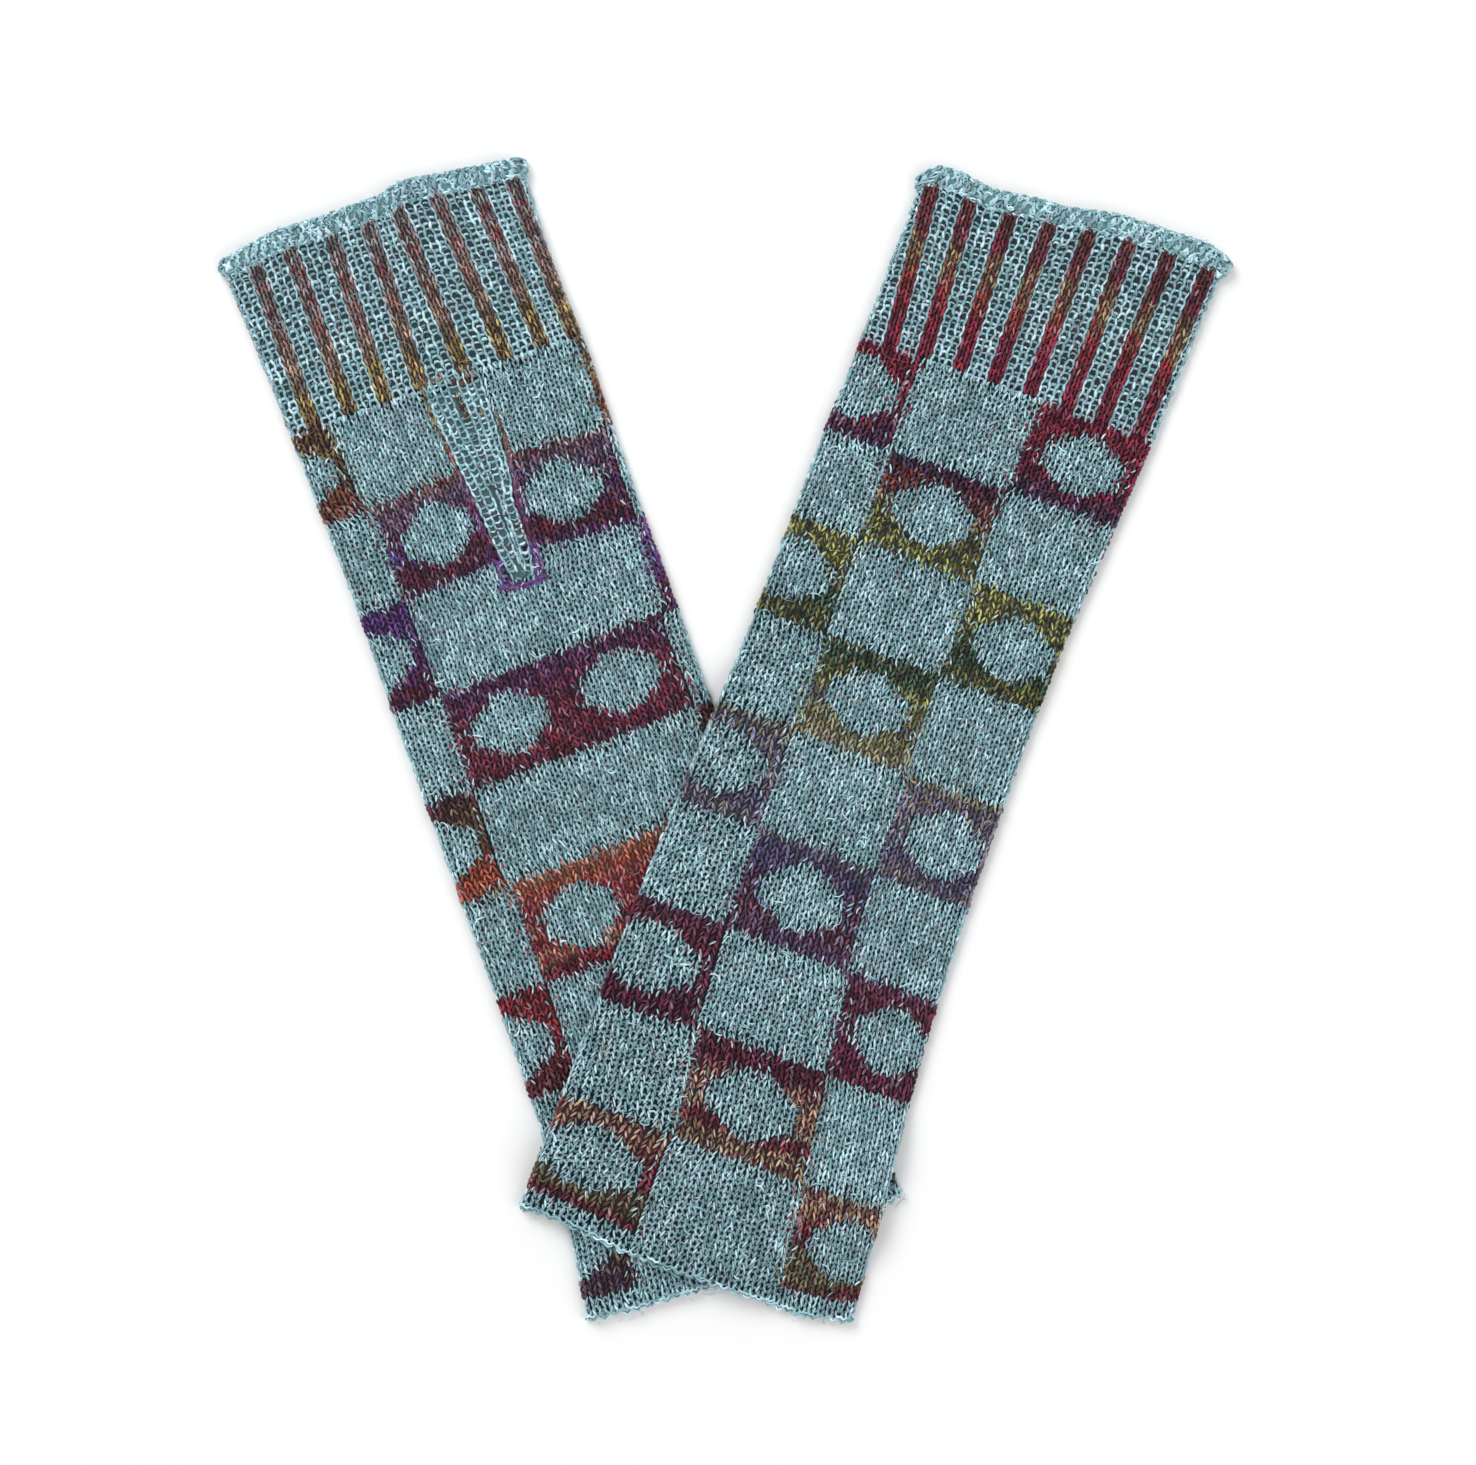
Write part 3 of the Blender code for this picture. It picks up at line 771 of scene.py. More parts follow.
def wool(name, group, mottle, fibre_scale, sheen, bump):
    """Matte wool whose colour is the one painted on each stitch, painted light and shade included,
    mottled by its fibres.
    """
    material = bpy.data.materials.new(name)
    material.use_nodes = True
    tree = material.node_tree
    shader, join = tree.nodes["Principled BSDF"], tree.links.new
    shader.inputs["Roughness"].default_value = 0.92
    shader.inputs["Specular IOR Level"].default_value = 0.2
    shader.inputs["Sheen Weight"].default_value = sheen
    shader.inputs["Sheen Roughness"].default_value = 0.6
    painted = tree.nodes.new("ShaderNodeAttribute")
    painted.attribute_name = "yarn"
    fibre = tree.nodes.new("ShaderNodeGroup")
    fibre.node_tree = group
    fibre.inputs["Mottle"].default_value = mottle
    fibre.inputs["Fibre Scale"].default_value = fibre_scale
    raised = tree.nodes.new("ShaderNodeBump")
    raised.inputs["Strength"].default_value = bump
    raised.inputs["Distance"].default_value = 0.0001
    join(painted.outputs["Color"], fibre.inputs["Colour"])
    join(fibre.outputs["Colour"], shader.inputs["Base Color"])
    join(fibre.outputs["Height"], raised.inputs["Height"])
    join(raised.outputs["Normal"], shader.inputs["Normal"])
    return material


# ---------------------------------------------------------------- stitches

LEG_STEPS = np.array([0.0, 0.2, 0.5, 0.8, 1.0])
LEG_SWELL = np.array([0.0, 0.85, 1.0, 0.85, 0.0])
PLAIN_STEPS = np.array([0.0, 0.5, 1.0])
CORNERS = 3
CORNER_ANGLES = pi / 2 + np.arange(CORNERS) * 2 * pi / CORNERS
LEG_SUNK = 0.42  # a leg's ends lie this far under the cloth's outer face
GROUND_LEG = Leg(0.12, 0.38, 0.40, 0.36)
CONTRAST_LEG = Leg(0.09, 0.39, 0.51, 0.40)
UNDER_GROUND_LEG = Leg(0.17, 0.33, 0.36, 0.3)
UNDER_CONTRAST_LEG = Leg(0.07, 0.41, 0.42, 0.3)
ARC_STEPS = np.linspace(0.0, 1.0, 3)
ARCS = rows_of(Arc, (0.16, 0.68, 0.6, 0.42), (0.66, 0.68, -0.55, -0.42))
ARC_HALF = 0.33
ARC_DEPTH = -0.36
ARC_SHADE = 0.48


def body_stitches(warmer):
    """Every stitch of the body: its wale, course and place."""
    wale, course = grid(np.arange(WALES), np.arange(COURSES + HEM_COURSES))
    t = course_to_t(warmer, course + 0.5)
    return wale, course, wale_to_a(warmer, wale + 0.5, t), t


def wander(warmer, wale, course):
    """Slow ripples that move whole wales about."""
    return 0.1 * ripple(warmer.seed + 21, wale * 0.2, course * 0.12)


def stitch_legs(warmer, wale, course, leg, colour_of, steps=LEG_STEPS):
    """The two legs of each stitch, an upside-down V with its point to the hand end.

    Each leg bows a little and arches over its neighbours, wanders with its wale, and
    strays by a little of its own.
    """
    seed = warmer.seed
    wale, course, u = wale[:, None], course[:, None], steps[None, :]
    parts = []
    for side in (-1.0, 1.0):
        key = wale * 2 + (side > 0)
        stray = [scatter(seed + n, key, course) - 0.5 for n in range(8)]
        point, foot = -0.74 + 0.30 * stray[0], 0.76 + 0.36 * stray[1]
        at_course = course + 0.5 + point * (1 - u) + foot * u
        t = course_to_t(warmer, at_course)
        across = leg.near + (leg.far - leg.near) * (0.35 * u + 0.65 * smooth(u))
        across = across + 0.12 * stray[2] + 0.10 * stray[3] * np.sin(pi * u)
        across = across + 0.10 * stray[7] * (u - 0.5)
        at_wale = wale + 0.5 + side * across
        at_wale = at_wale + 0.05 * ripple(seed + 20, wale * 0.9, at_course * 0.3)
        a = wale_to_a(warmer, at_wale + wander(warmer, wale, at_course), t, wale + 0.5)
        out = -LEG_SUNK + leg.arch * (1 + 0.5 * stray[4]) * arched(u) + 0.1 * stray[5]
        out = out - seam_dip(warmer, a, t)
        radius = leg.thick * (1 + 0.5 * stray[6]) * np.interp(u, LEG_STEPS, LEG_SWELL)
        tint = colour_of(side, *(given[..., None] for given in (t, key, course, u)))
        parts.append(spindles(a, t, out, radius, tint))
    return parts


def lightness(light, seed, key, course):
    """How light each leg is: partly the yarn's own uneven tone, partly painted light, the palest legs
    standing for highlights and the darkest for legs in shade.
    """
    return light.least + light.span * scatter(seed, key, course) ** light.power


def ground_tint(warmer):
    """The ground yarn: aqua with paler grey-mauve stretches, heathered leg by leg. Each leg's
    lightness is partly painted light, and the palest legs are whitened as a painted highlight.
    """
    aqua, mist = linear(AQUA), linear(MIST)

    def tint(side, t, key, course, u):
        slow = ripple(warmer.seed + 31, key * 0.11, course * 0.16)
        leg = scatter(warmer.seed + 32, key, course)
        turn = 6.0 * leg + 2.0 * u + 1.5 * slow - 1.2 + (0.5 * CORNER_ANGLES if side else 0)
        light = lightness(GROUND_LIGHT, warmer.seed + 33, key, course) + 0.12 * slow + 0 * u
        # painted highlight: the lightest legs are mixed towards a whitish colour; each leg's
        # lightness is partly painted light
        painted_highlight = 0.4 * smooth((light - 0.8) / 0.8)[..., None]
        own = yarn_colour(aqua, mist, turn, light)
        return own * (1 - painted_highlight) + linear(HIGHLIGHT_PALE) * light[..., None] * painted_highlight

    return tint


def contrast_tint(warmer):
    """The contrast yarn: two plies whose colours change slowly from hand to arm."""

    def tint(side, t, key, course, u):
        strayed = t + 2.5 * ripple(warmer.seed + 41, key * 0.12, course * 0.3)
        one, two = plies(warmer, strayed)
        turn = 2 * pi * scatter(warmer.seed + 42, key, course) + 3.0 * u
        turn = turn + (0.4 * CORNER_ANGLES if side else 0)
        # partly painted light: the darkest legs stand for shade and the palest for highlights
        light = lightness(CONTRAST_LIGHT, warmer.seed + 43, key, course) + 0 * u
        fleck = FLECK_SHARE * (scatter(warmer.seed + 44, key, course) > FLECK_RARE)[..., None]
        one = one * (1 - fleck) + linear(FLECK) * fleck
        return yarn_colour(one, two, turn, light)

    return tint


def painted_shade_or_light(colour_of, share):
    """The same yarn with painted shade, darker for a share below 1, as under the strands above it, or
    with painted light, paler for a share above 1.
    """
    return lambda *where: colour_of(*where) * share


def stitch_arcs(warmer, wale, course, colour_of):
    """The arcs behind the stitches: one joins each stitch's feet, and one joins it to
    the next stitch at their points. Each dips away from its ends like a bow."""
    wale, course, u = wale[:, None], course[:, None], ARC_STEPS[None, :]
    parts = []
    for kind, arc in enumerate(ARCS):
        seed = warmer.seed + 50 + 4 * kind
        stray = [scatter(seed + n, wale, course) - 0.5 for n in range(4)]
        bent = arc.bow * (1 + 0.8 * stray[1]) * np.sin(pi * u)
        at_course = course + 0.5 + arc.base + bent + 0.2 * stray[2]
        at_wale = wale + arc.start + arc.span * u + 0.06 * stray[0]
        t = course_to_t(warmer, at_course)
        a = wale_to_a(warmer, at_wale + wander(warmer, wale, at_course), t, wale + 0.5)
        tint = colour_of(0, t, 2 * wale + kind, course, u)
        parts.append(ribbons(a, t, ARC_DEPTH + 0.12 * stray[3] + 0 * a, ARC_HALF, tint))
    return parts


def on_top(warmer, a, t):
    """Whether places are on the upper side of the tube, folds included."""
    around = girth(warmer, t)
    return np.mod(a + TOP_MARGIN, around) < around / 2 + 2 * TOP_MARGIN


def add_body(warmer, wool_yarn):
    """The stitches that show. Ground stitches beside the contrast have no arcs."""
    wale, course, a, t = body_stitches(warmer)
    contrast = is_contrast(warmer, wale, course)
    shown = on_top(warmer, a, t) & ~in_gusset(warmer, a, t, -0.1)
    beside = is_contrast(warmer, wale, course + 1) | is_contrast(warmer, wale, course - 1)
    tint = ground_tint(warmer)
    made = shown & ~contrast
    plain = stitch_legs(warmer, wale[made], course[made], GROUND_LEG, tint)
    made = made & ~beside
    # painted shade: the arcs under the legs are a darker copy of their yarn
    plain += stitch_arcs(warmer, wale[made], course[made], painted_shade_or_light(tint, ARC_SHADE))
    made = shown & contrast
    tint = contrast_tint(warmer)
    colour = stitch_legs(warmer, wale[made], course[made], CONTRAST_LEG, tint)
    return [
        yarn_object(warmer, "ground_stitches", plain, wool_yarn),
        yarn_object(warmer, "contrast_stitches", colour, wool_yarn),
    ]


def add_underside(warmer, wool_yarn):
    """The stitches on the side that lies on the table, with plainer legs."""
    wale, course, a, t = body_stitches(warmer)
    contrast = is_contrast(warmer, wale, course)
    hidden = ~on_top(warmer, a, t) & ~in_gusset(warmer, a, t, 0.4)
    parts = []
    for made, leg, tint in (
        (hidden & ~contrast, UNDER_GROUND_LEG, ground_tint(warmer)),
        (hidden & contrast, UNDER_CONTRAST_LEG, contrast_tint(warmer)),
    ):
        parts += stitch_legs(warmer, wale[made], course[made], leg, tint, PLAIN_STEPS)
    return yarn_object(warmer, "underside_stitches", parts, wool_yarn)


# ---------------------------------------------------------------- cuff, edges and gusset


def strands(a, t, out, thick, colour_of, seed):
    """Single strands of yarn along rows of places."""
    number = np.arange(len(a))[:, None, None]
    u = np.linspace(0, 1, a.shape[1])[None, :, None]
    tint = colour_of(1.0, t[..., None], number, number % 7 + seed, u)
    return spindles(a, t, out, thick * np.interp(u[..., 0], LEG_STEPS, LEG_SWELL), tint)


def own_middle(warmer, rib, t):
    """The middle of each strand's own rib."""
    return np.take_along_axis(rib_middles(warmer, t), rib[None, :, None], axis=0)[0]


def cuff_contrast(warmer):
    """The contrast ribs: two columns of Vs each, standing up from the cuff. The ones
    underneath have plainer legs."""
    parts = []
    tops = len(warmer.rib_tops)
    for first, last, steps in ((0, tops, LEG_STEPS), (tops, tops + UNDER_RIBS, PLAIN_STEPS)):
        ribs, courses = np.arange(first, last), np.arange(RIB_COURSES)
        rib, column, course, side = grid(ribs, (-0.5, 0.5), courses, (-1.0, 1.0))
        stray = jitter(warmer.seed + 60, len(rib), 6)
        u = steps[None, :]
        reach = -0.74 + 1.5 * u + 0.24 * stray[0]
        t = RIB_TOP + (course[:, None] + 0.5 + reach) * RIB_COURSE
        spread = side[:, None] * (0.41 - 0.32 * u) + 0.09 * stray[1] + 0.03 * np.sin(9 * t)
        a = own_middle(warmer, rib, t) + (column[:, None] + spread) * RIB_WALE
        out = RIB_RAISE - LEG_SUNK + 0.36 * (1 + 0.5 * stray[2]) * arched(u) + 0.1 * stray[3]
        thick = 0.50 * (1 + 0.3 * stray[4])
        parts.append(strands(a, t, out, thick, contrast_tint(warmer), 1))
    return parts


def ladder_rungs(rail, stray, u):
    """Bowed strands from each rail to the next: share of the strip, courses, height."""
    place_of = np.array(LADDER_RAILS)
    share = place_of[rail][:, None] + (place_of[rail + 1] - place_of[rail])[:, None] * u
    bow = -0.42 * (1 + 1.2 * stray[1]) * np.sin(pi * u)
    reach = 0.1 + bow + 0.5 * stray[0] * (u - 0.5) + 0.2 * stray[5]
    return share, reach, -0.30 + 0.16 * stray[2] + 0 * u, 0.65 * (1 + 0.6 * stray[4])


def ladder_rails(rail, course, stray, u):
    """Lengthwise strands, zigzagging a little: share of the strip, courses, height."""
    bent = 0.045 * np.where((course + rail) % 2, 1.0, -1.0)[:, None] * (u - 0.5) * 2
    share = np.array(LADDER_RAILS)[rail][:, None] + bent
    share = share + 0.06 * stray[1] + 0.10 * stray[3] * (u - 0.5)
    reach = -0.7 + 1.4 * u + 0.2 * stray[0]
    out = -0.30 + 0.3 * arched(u) + 0.1 * stray[2]
    return share, reach, out, 0.62 * (1 + 0.5 * stray[4])


def cuff_ladders(warmer):
    """The ground strips between the ribs: four lengthwise strands, with bowed rungs. The
    strips underneath have plainer strands."""
    parts = []
    ribs = len(warmer.rib_tops) + UNDER_RIBS
    rails = len(LADDER_RAILS)
    on_show = np.append(np.arange(len(warmer.rib_tops)), ribs - 1)
    hidden = np.setdiff1d(np.arange(ribs), on_show)
    for strips, rung, steps in (
        (on_show, False, LEG_STEPS),
        (on_show, True, np.linspace(0, 1, 4)),
        (hidden, False, PLAIN_STEPS),
        (hidden, True, PLAIN_STEPS),
    ):
        strip, rail, course = grid(strips, np.arange(rails - rung), np.arange(RIB_COURSES + 1))
        stray = jitter(warmer.seed + 70 + 9 * rung, len(strip), 6)
        u = steps[None, :]
        if rung:
            share, reach, out, thick = ladder_rungs(rail, stray, u)
        else:
            share, reach, out, thick = ladder_rails(rail, course, stray, u)
        t = RIB_TOP + (course[:, None] + 0.5 + reach) * RIB_COURSE
        near = own_middle(warmer, strip, t) + RIB_HALF
        far = own_middle(warmer, (strip + 1) % ribs, t) - RIB_HALF
        far = far + np.where(strip == ribs - 1, 1.0, 0.0)[:, None] * girth(warmer, t)
        a = near + (far - near) * share
        # painted shade: the rails, and the rungs more so, are darker copies of the ground yarn
        tint = painted_shade_or_light(ground_tint(warmer), 0.88 if rung else 0.96)
        parts.append(strands(a, t, out, thick, tint, 2 + rung))
    return parts


ROLL_ROWS = (0.9, 1.8, 2.7, 3.6, 4.4, 5.2)  # where its rows of strands lie on its profile
ROLL_CURLS = 520
CHAIN = WALES * 3 // 2  # strands in the chain beside it, each way
ROLL_ROOM = 1.0  # the middles of its strands stay this far above the table
CURL_ROOM = 0.5
ROLL_BUMP = 0.3


def over_roll(at):
    """The distance from the hand end and the height off the cloth of places over the
    roll, counted in rows of its profile."""
    where = np.arange(len(ROLLED))
    return [np.interp(at, where, [getattr(row, column) for row in ROLLED]) for column in ("t", "out")]


def rolled_edge(warmer):
    """The hand edge, rolled so that its wrong side shows: short strands over the bumpy
    roll, curls on it, and a chain of slanted strands along its lower side."""
    parts = []
    u = LEG_STEPS[None, :]
    wale = np.arange(WALES)[:, None]
    for row, at in enumerate(ROLL_ROWS):
        for half in (0, 1):
            stray = jitter(warmer.seed + 90 + 7 * row + half, WALES, 6)
            along_roll = at + 0.25 * half + 1.7 * (u - 0.5) + 0.7 * stray[0]
            t, out = over_roll(along_roll)
            at_wale = wale + 0.5 * half + 0.25 * row + 0.45 * stray[2]
            at_wale = at_wale + 0.35 * (1 - 2 * half) * np.sin(pi * u) + 0.5 * stray[1] * (u - 0.5)
            a = at_wale * girth(warmer, t) / WALES
            out = out + 0.42 + 0.16 * np.sin(pi * u) + 0.12 * stray[3]
            out = out + ROLL_BUMP * ripple(warmer.seed + 160, a / 2.4, 0.5 * along_roll)
            out = settled(warmer, a, t, out, ROLL_ROOM + 0.5 * stray[3])
            # painted shade: the roll's strands are a very slightly darker copy of the ground yarn
            tint = painted_shade_or_light(ground_tint(warmer), 0.98)
            parts.append(strands(a, t, out, 0.66 * (1 + 0.5 * stray[4]), tint, 4 + row))
    pick = picks(warmer.seed + 140, ROLL_CURLS, 6, 2)
    bow = (pick[1] - 0.5) * hump(u - 0.5)
    aside, along_roll = turned(0, 0, 2 * pi * pick[0], u - 0.5, bow)
    t, out = over_roll(0.6 + 5.6 * pick[2] + 0.9 * along_roll)
    out = out + 0.62 + 0.6 * pick[3] * hump(u - 0.5)
    a = pick[4] * girth(warmer, t) + 2.6 * aside
    out = settled(warmer, a, t, out, CURL_ROOM + 0.3 * pick[3])
    # painted light: the curls are a paler copy of the ground yarn
    tint = painted_shade_or_light(ground_tint(warmer), 1.05)
    parts.append(strands(a, t, out, 0.34 + 0.2 * pick[5], tint, 11))
    chain = np.arange(CHAIN)[:, None]
    for slant in (-1, 1):
        stray = jitter(warmer.seed + 150 + slant, CHAIN, 5)
        t = 5.5 + slant * 0.75 * (u - 0.5) + 0.4 * stray[0] + 0.3 * np.sin(pi * u) * slant
        t = t + 0.5 * ripple(warmer.seed + 151, chain * 0.35, 0 * u)
        a = (chain + 0.95 * u + 0.2 * stray[1]) * girth(warmer, t) / CHAIN
        out = 0.28 + 0.2 * np.sin(pi * u) + 0.1 * stray[2]
        out = settled(warmer, a, t, out, CURL_ROOM + 0.2 * stray[2])
        # painted light: the chain's strands are a paler copy of the ground yarn
        tint = painted_shade_or_light(ground_tint(warmer), 1.15)
        parts.append(strands(a, t, out, 0.32 * (1 + 0.3 * stray[3]), tint, 12))
    return parts


def arm_hem(warmer):
    """The arm edge: a row of small loops that closes the last row of stitches."""
    parts = []
    wale, u = np.arange(WALES)[:, None], LEG_STEPS[None, :]
    for kind in (0, 1, 2):
        stray = jitter(warmer.seed + 170 + kind, WALES, 6)
        bow = 0.6 * np.sin(pi * u) * (1 + 0.9 * stray[0])
        start = (-0.1, -0.35, -0.6)[kind] + 0.3 * stray[1] + 0.5 * stray[5] * (u - 0.5)
        at_course = COURSES + HEM_COURSES + start + (1.0, 0.4, 1.2)[kind] * bow
        t = course_to_t(warmer, at_course)
        at_wale = wale + 0.5 * kind + 0.06 + 0.88 * u + 0.1 * stray[2]
        a = wale_to_a(warmer, at_wale, t)
        out = -0.25 + 0.25 * np.sin(pi * u) + 0.2 * stray[3] + 0.2 * kind
        # painted light: the hem's loops are a paler copy of the ground yarn
        tint = painted_shade_or_light(ground_tint(warmer), 1.1)
        parts.append(strands(a, t, out, 0.42 * (1 + 0.5 * stray[4]), tint, 21))
    return parts


GUSSET_COURSE = 1.8
GUSSET_RAILS = (  # its lengthwise strands
    rows_of(Path, (53, -3.4), (72, -2.0), (84, -1.0), (93, 0.1), (110, 1.2), (120, 3.0)),
    rows_of(Path, (53, -1.2), (72, 0.2), (84, 1.3), (93, 2.4), (110, 3.5), (119, 5.0)),
    rows_of(Path, (53, 1.0), (72, 2.2), (84, 3.6), (93, 4.9), (110, 5.8), (116, 6.2)),
    rows_of(Path, (53, 3.2), (66, 3.6), (74, 4.6), (84, 5.4), (92, 6.2)),
    rows_of(Path, (53, 6.6), (72, 7.4), (84, 7.4), (97, 6.9), (118, 6.7)),
    rows_of(Path, (53, 8.8), (72, 9.4), (84, 9.8), (92, 9.4), (97, 8.0), (119, 7.5)),
    rows_of(Path, (53, 11.2), (72, 11.4), (84, 11.2), (91, 10.9)),
    rows_of(Path, (53, 13.6), (84, 12.6), (92, 12.0), (96, 10.5), (112, 10.5), (120, 9.0)),
)
RUNG_PITCHES = (2.1, 2.3, 1.9, 1.9, 2.0, 1.9, 2.1)
LONG_GAP = (5, 7)  # two strands joined by rungs past the end of the one between them
EDGE_YARN = (  # the contrast yarn down both sides of the gusset
    rows_of(
        Band,
        (52, -4.8, 0.6), (62, -3.9, 0.6), (84, -2.0, 0.5), (91, -1.4, 0.8), (101, -0.8, 0.9),
        (111, -0.3, 1.2), (121, 0.9, 1.5),
    ),
    rows_of(
        Band,
        (69, 14.8, 0.4), (84, 14.0, 0.7), (92, 13.0, 0.7), (101, 11.8, 0.9), (111, 12.0, 1.3),
        (121, 11.2, 1.5),
    ),
)
EDGE_STRANDS = 160  # down each side
FOOT_STRANDS = 60
FOOT_YARN = rows_of(Path, (120.6, -1.6), (121.4, 3.0), (122.0, 7.0), (121.6, 12.6))
PATCHES = rows_of(  # the contrast yarn over the gusset's top and in its slit
    Patch,
    (-3.5, 54.0, 1.2, 1.2, 13), (1.6, 54.2, 2.1, 0.9, 18), (6.0, 56.3, 0.9, 0.9, 9),
    (8.2, 57.8, 0.9, 1.0, 9), (10.8, 56.4, 2.1, 1.3, 26), (5.6, 62.5, 1.5, 3.0, 14),
    (5.4, 67.2, 1.2, 1.0, 7), (10.3, 67.2, 1.0, 0.9, 6), (7.2, 81.5, 0.5, 2.2, 8),
)
GUSSET_CREASE = 0.53  # the crease down the gusset, as a share of its width
CREASE_HALF = 1.1
CREASE_DEPTH = 0.55
SLIT = (59.7, 66.5)  # the crease stands open between these places
SLIT_HALF = 1.2
SLIT_COLUMN = 3  # the column of rungs that it takes the place of
# painted shade: how dark the gusset's backing is in the slit, where the open crease is in shadow
SLIT_SHADE = 0.3
GUSSET_ROWS = 44  # points along its backing
GUSSET_COLUMNS = 17  # and across it
GUSSET_DEPTH = GROUND_DEPTH - 0.03
GUSSET_WALL = 0.5


def gusset_area():
    """The wedge's flat area in square metres: the sum of the trapezia between its rows."""
    pairs = zip(GUSSET, GUSSET[1:])
    return sum((a.right - a.left + b.right - b.left) / 2 * (b.t - a.t) for a, b in pairs) * MM * MM


def from_crease(s, t):
    """How far places on the gusset are from its crease."""
    return s - read(GUSSET, "left", t) - width(GUSSET, t) * GUSSET_CREASE


def gusset_place(warmer, s, t):
    """Places on the gusset, s across and t along, and how deep its crease lies there."""
    crease = np.exp(-((from_crease(s, t) / CREASE_HALF) ** 2))
    ends = smooth((t - GUSSET[0].t) / 6) * smooth((GUSSET[-1].t - t) / 20)
    return on_palm(warmer, across_to_a(warmer, s, t), t), -CREASE_DEPTH * crease * ends


def walled(made, thickness):
    """A cloth thickened inwards from its outer face."""
    wall = made.modifiers.new("wall", "SOLIDIFY")
    wall.thickness = thickness * MM
    wall.offset = -1.0
    return made


def add_gusset(warmer, wool_backing):
    """The gusset's own backing, a grid across and along its outline."""
    down, share = np.meshgrid(
        np.linspace(0, 1, GUSSET_ROWS), np.linspace(0, 1, GUSSET_COLUMNS), indexing="ij"
    )
    if warmer.drape:
        share = share[:, ::-1]
    t = GUSSET[0].t + (GUSSET[-1].t - GUSSET[0].t) * down
    s = read(GUSSET, "left", t) + width(GUSSET, t) * share
    a, sunk = gusset_place(warmer, s, t)
    points = above_table(warmer, a, t, GUSSET_DEPTH + sunk)
    index = np.arange(len(points)).reshape(a.shape)
    corners = (index[:-1, :-1], index[1:, :-1], index[1:, 1:], index[:-1, 1:])
    faces = np.stack(corners, axis=-1).reshape(-1, 4)
    layout = np.stack((inset(share, 0.02), inset(down, 0.02)), axis=-1).reshape(-1, 2)
    # painted shade: the gusset's backing is a dark teal mix for the shadow behind its strands, darker
    # still in the slit
    slit = (t > SLIT[0]) & (t < SLIT[1]) & (np.abs(from_crease(s, t)) < SLIT_HALF)
    light = np.where(slit, SLIT_SHADE, 1.0).reshape(-1, 1)
    colours = light * (0.4 * linear(SHADOW_TEAL) + 0.36 * linear(ROLL_TEAL))
    name = f"{warmer.name}_gusset_cloth"
    return walled(make_mesh(name, points, [faces], layout, colours, wool_backing), GUSSET_WALL)


def gusset_strands(warmer, s, t, out, thick, tint, seed):
    """Strands at places on the gusset, sunk into its crease."""
    a, sunk = gusset_place(warmer, s, t)
    return strands(a, t, out + sunk, thick, tint, seed)


def gusset_ladders(warmer):
    """The gusset's ground yarn: lengthwise strands, and the bowed rungs that join each to
    the next on its right."""
    parts = []
    u = LEG_STEPS[None, :]
    tint = ground_tint(warmer)
    for number, rail in enumerate(GUSSET_RAILS):
        count = int((rail[-1].t - rail[0].t) / GUSSET_COURSE)
        step = np.arange(count)[:, None]
        stray = jitter(warmer.seed + 190 + number, count, 6)
        t = rail[0].t + (step + 0.5 + 1.5 * (u - 0.5) + 0.16 * stray[2]) * GUSSET_COURSE
        wave = np.where((step + number) % 2, 0.2, -0.2) * (2 * u - 1)
        s = read(rail, "s", t) + wave + 0.3 * stray[0] + 0.4 * stray[1] * (u - 0.5)
        out = -0.2 + 0.34 * np.sin(pi * u) + 0.12 * stray[3]
        thick = 0.58 * (1 + 0.4 * stray[4])
        parts.append(gusset_strands(warmer, s, t, out, thick, tint, 30 + number))
    last = len(GUSSET_RAILS) - 1
    joined = [(k, k + 1, 0.0, RUNG_PITCHES[k]) for k in range(last)]
    joined.append(LONG_GAP + (GUSSET_RAILS[LONG_GAP[0] + 1][-1].t, RUNG_PITCHES[-1]))
    for number, (near, far, start, pitch) in enumerate(joined):
        near, far = GUSSET_RAILS[near], GUSSET_RAILS[far]
        start = max(near[0].t, far[0].t, start)
        count = int((min(near[-1].t, far[-1].t) - start) / pitch)
        stray = jitter(warmer.seed + 210 + number, count, 6)
        middle = start + (np.arange(count)[:, None] + 0.5 + 0.3 * stray[5]) * pitch
        here, there = read(near, "s", middle), read(far, "s", middle)
        kept = (there - here > 0.8)[:, 0]
        if number == SLIT_COLUMN:
            kept = kept & ((middle < SLIT[0]) | (middle > SLIT[1]))[:, 0]
        bow = 0.3 * (1 + 1.6 * stray[0]) * np.sin(pi * u)
        t = middle + (bow + 0.5 * stray[1] * (u - 0.5)) * pitch
        s = here + (there - here) * u
        out, thick = -0.26 + 0.12 * stray[2] + 0 * u, 0.56 * (1 + 0.6 * stray[3])
        parts.append(
            gusset_strands(warmer, s[kept], t[kept], out[kept], thick[kept], tint, 40 + number)
        )
    return parts


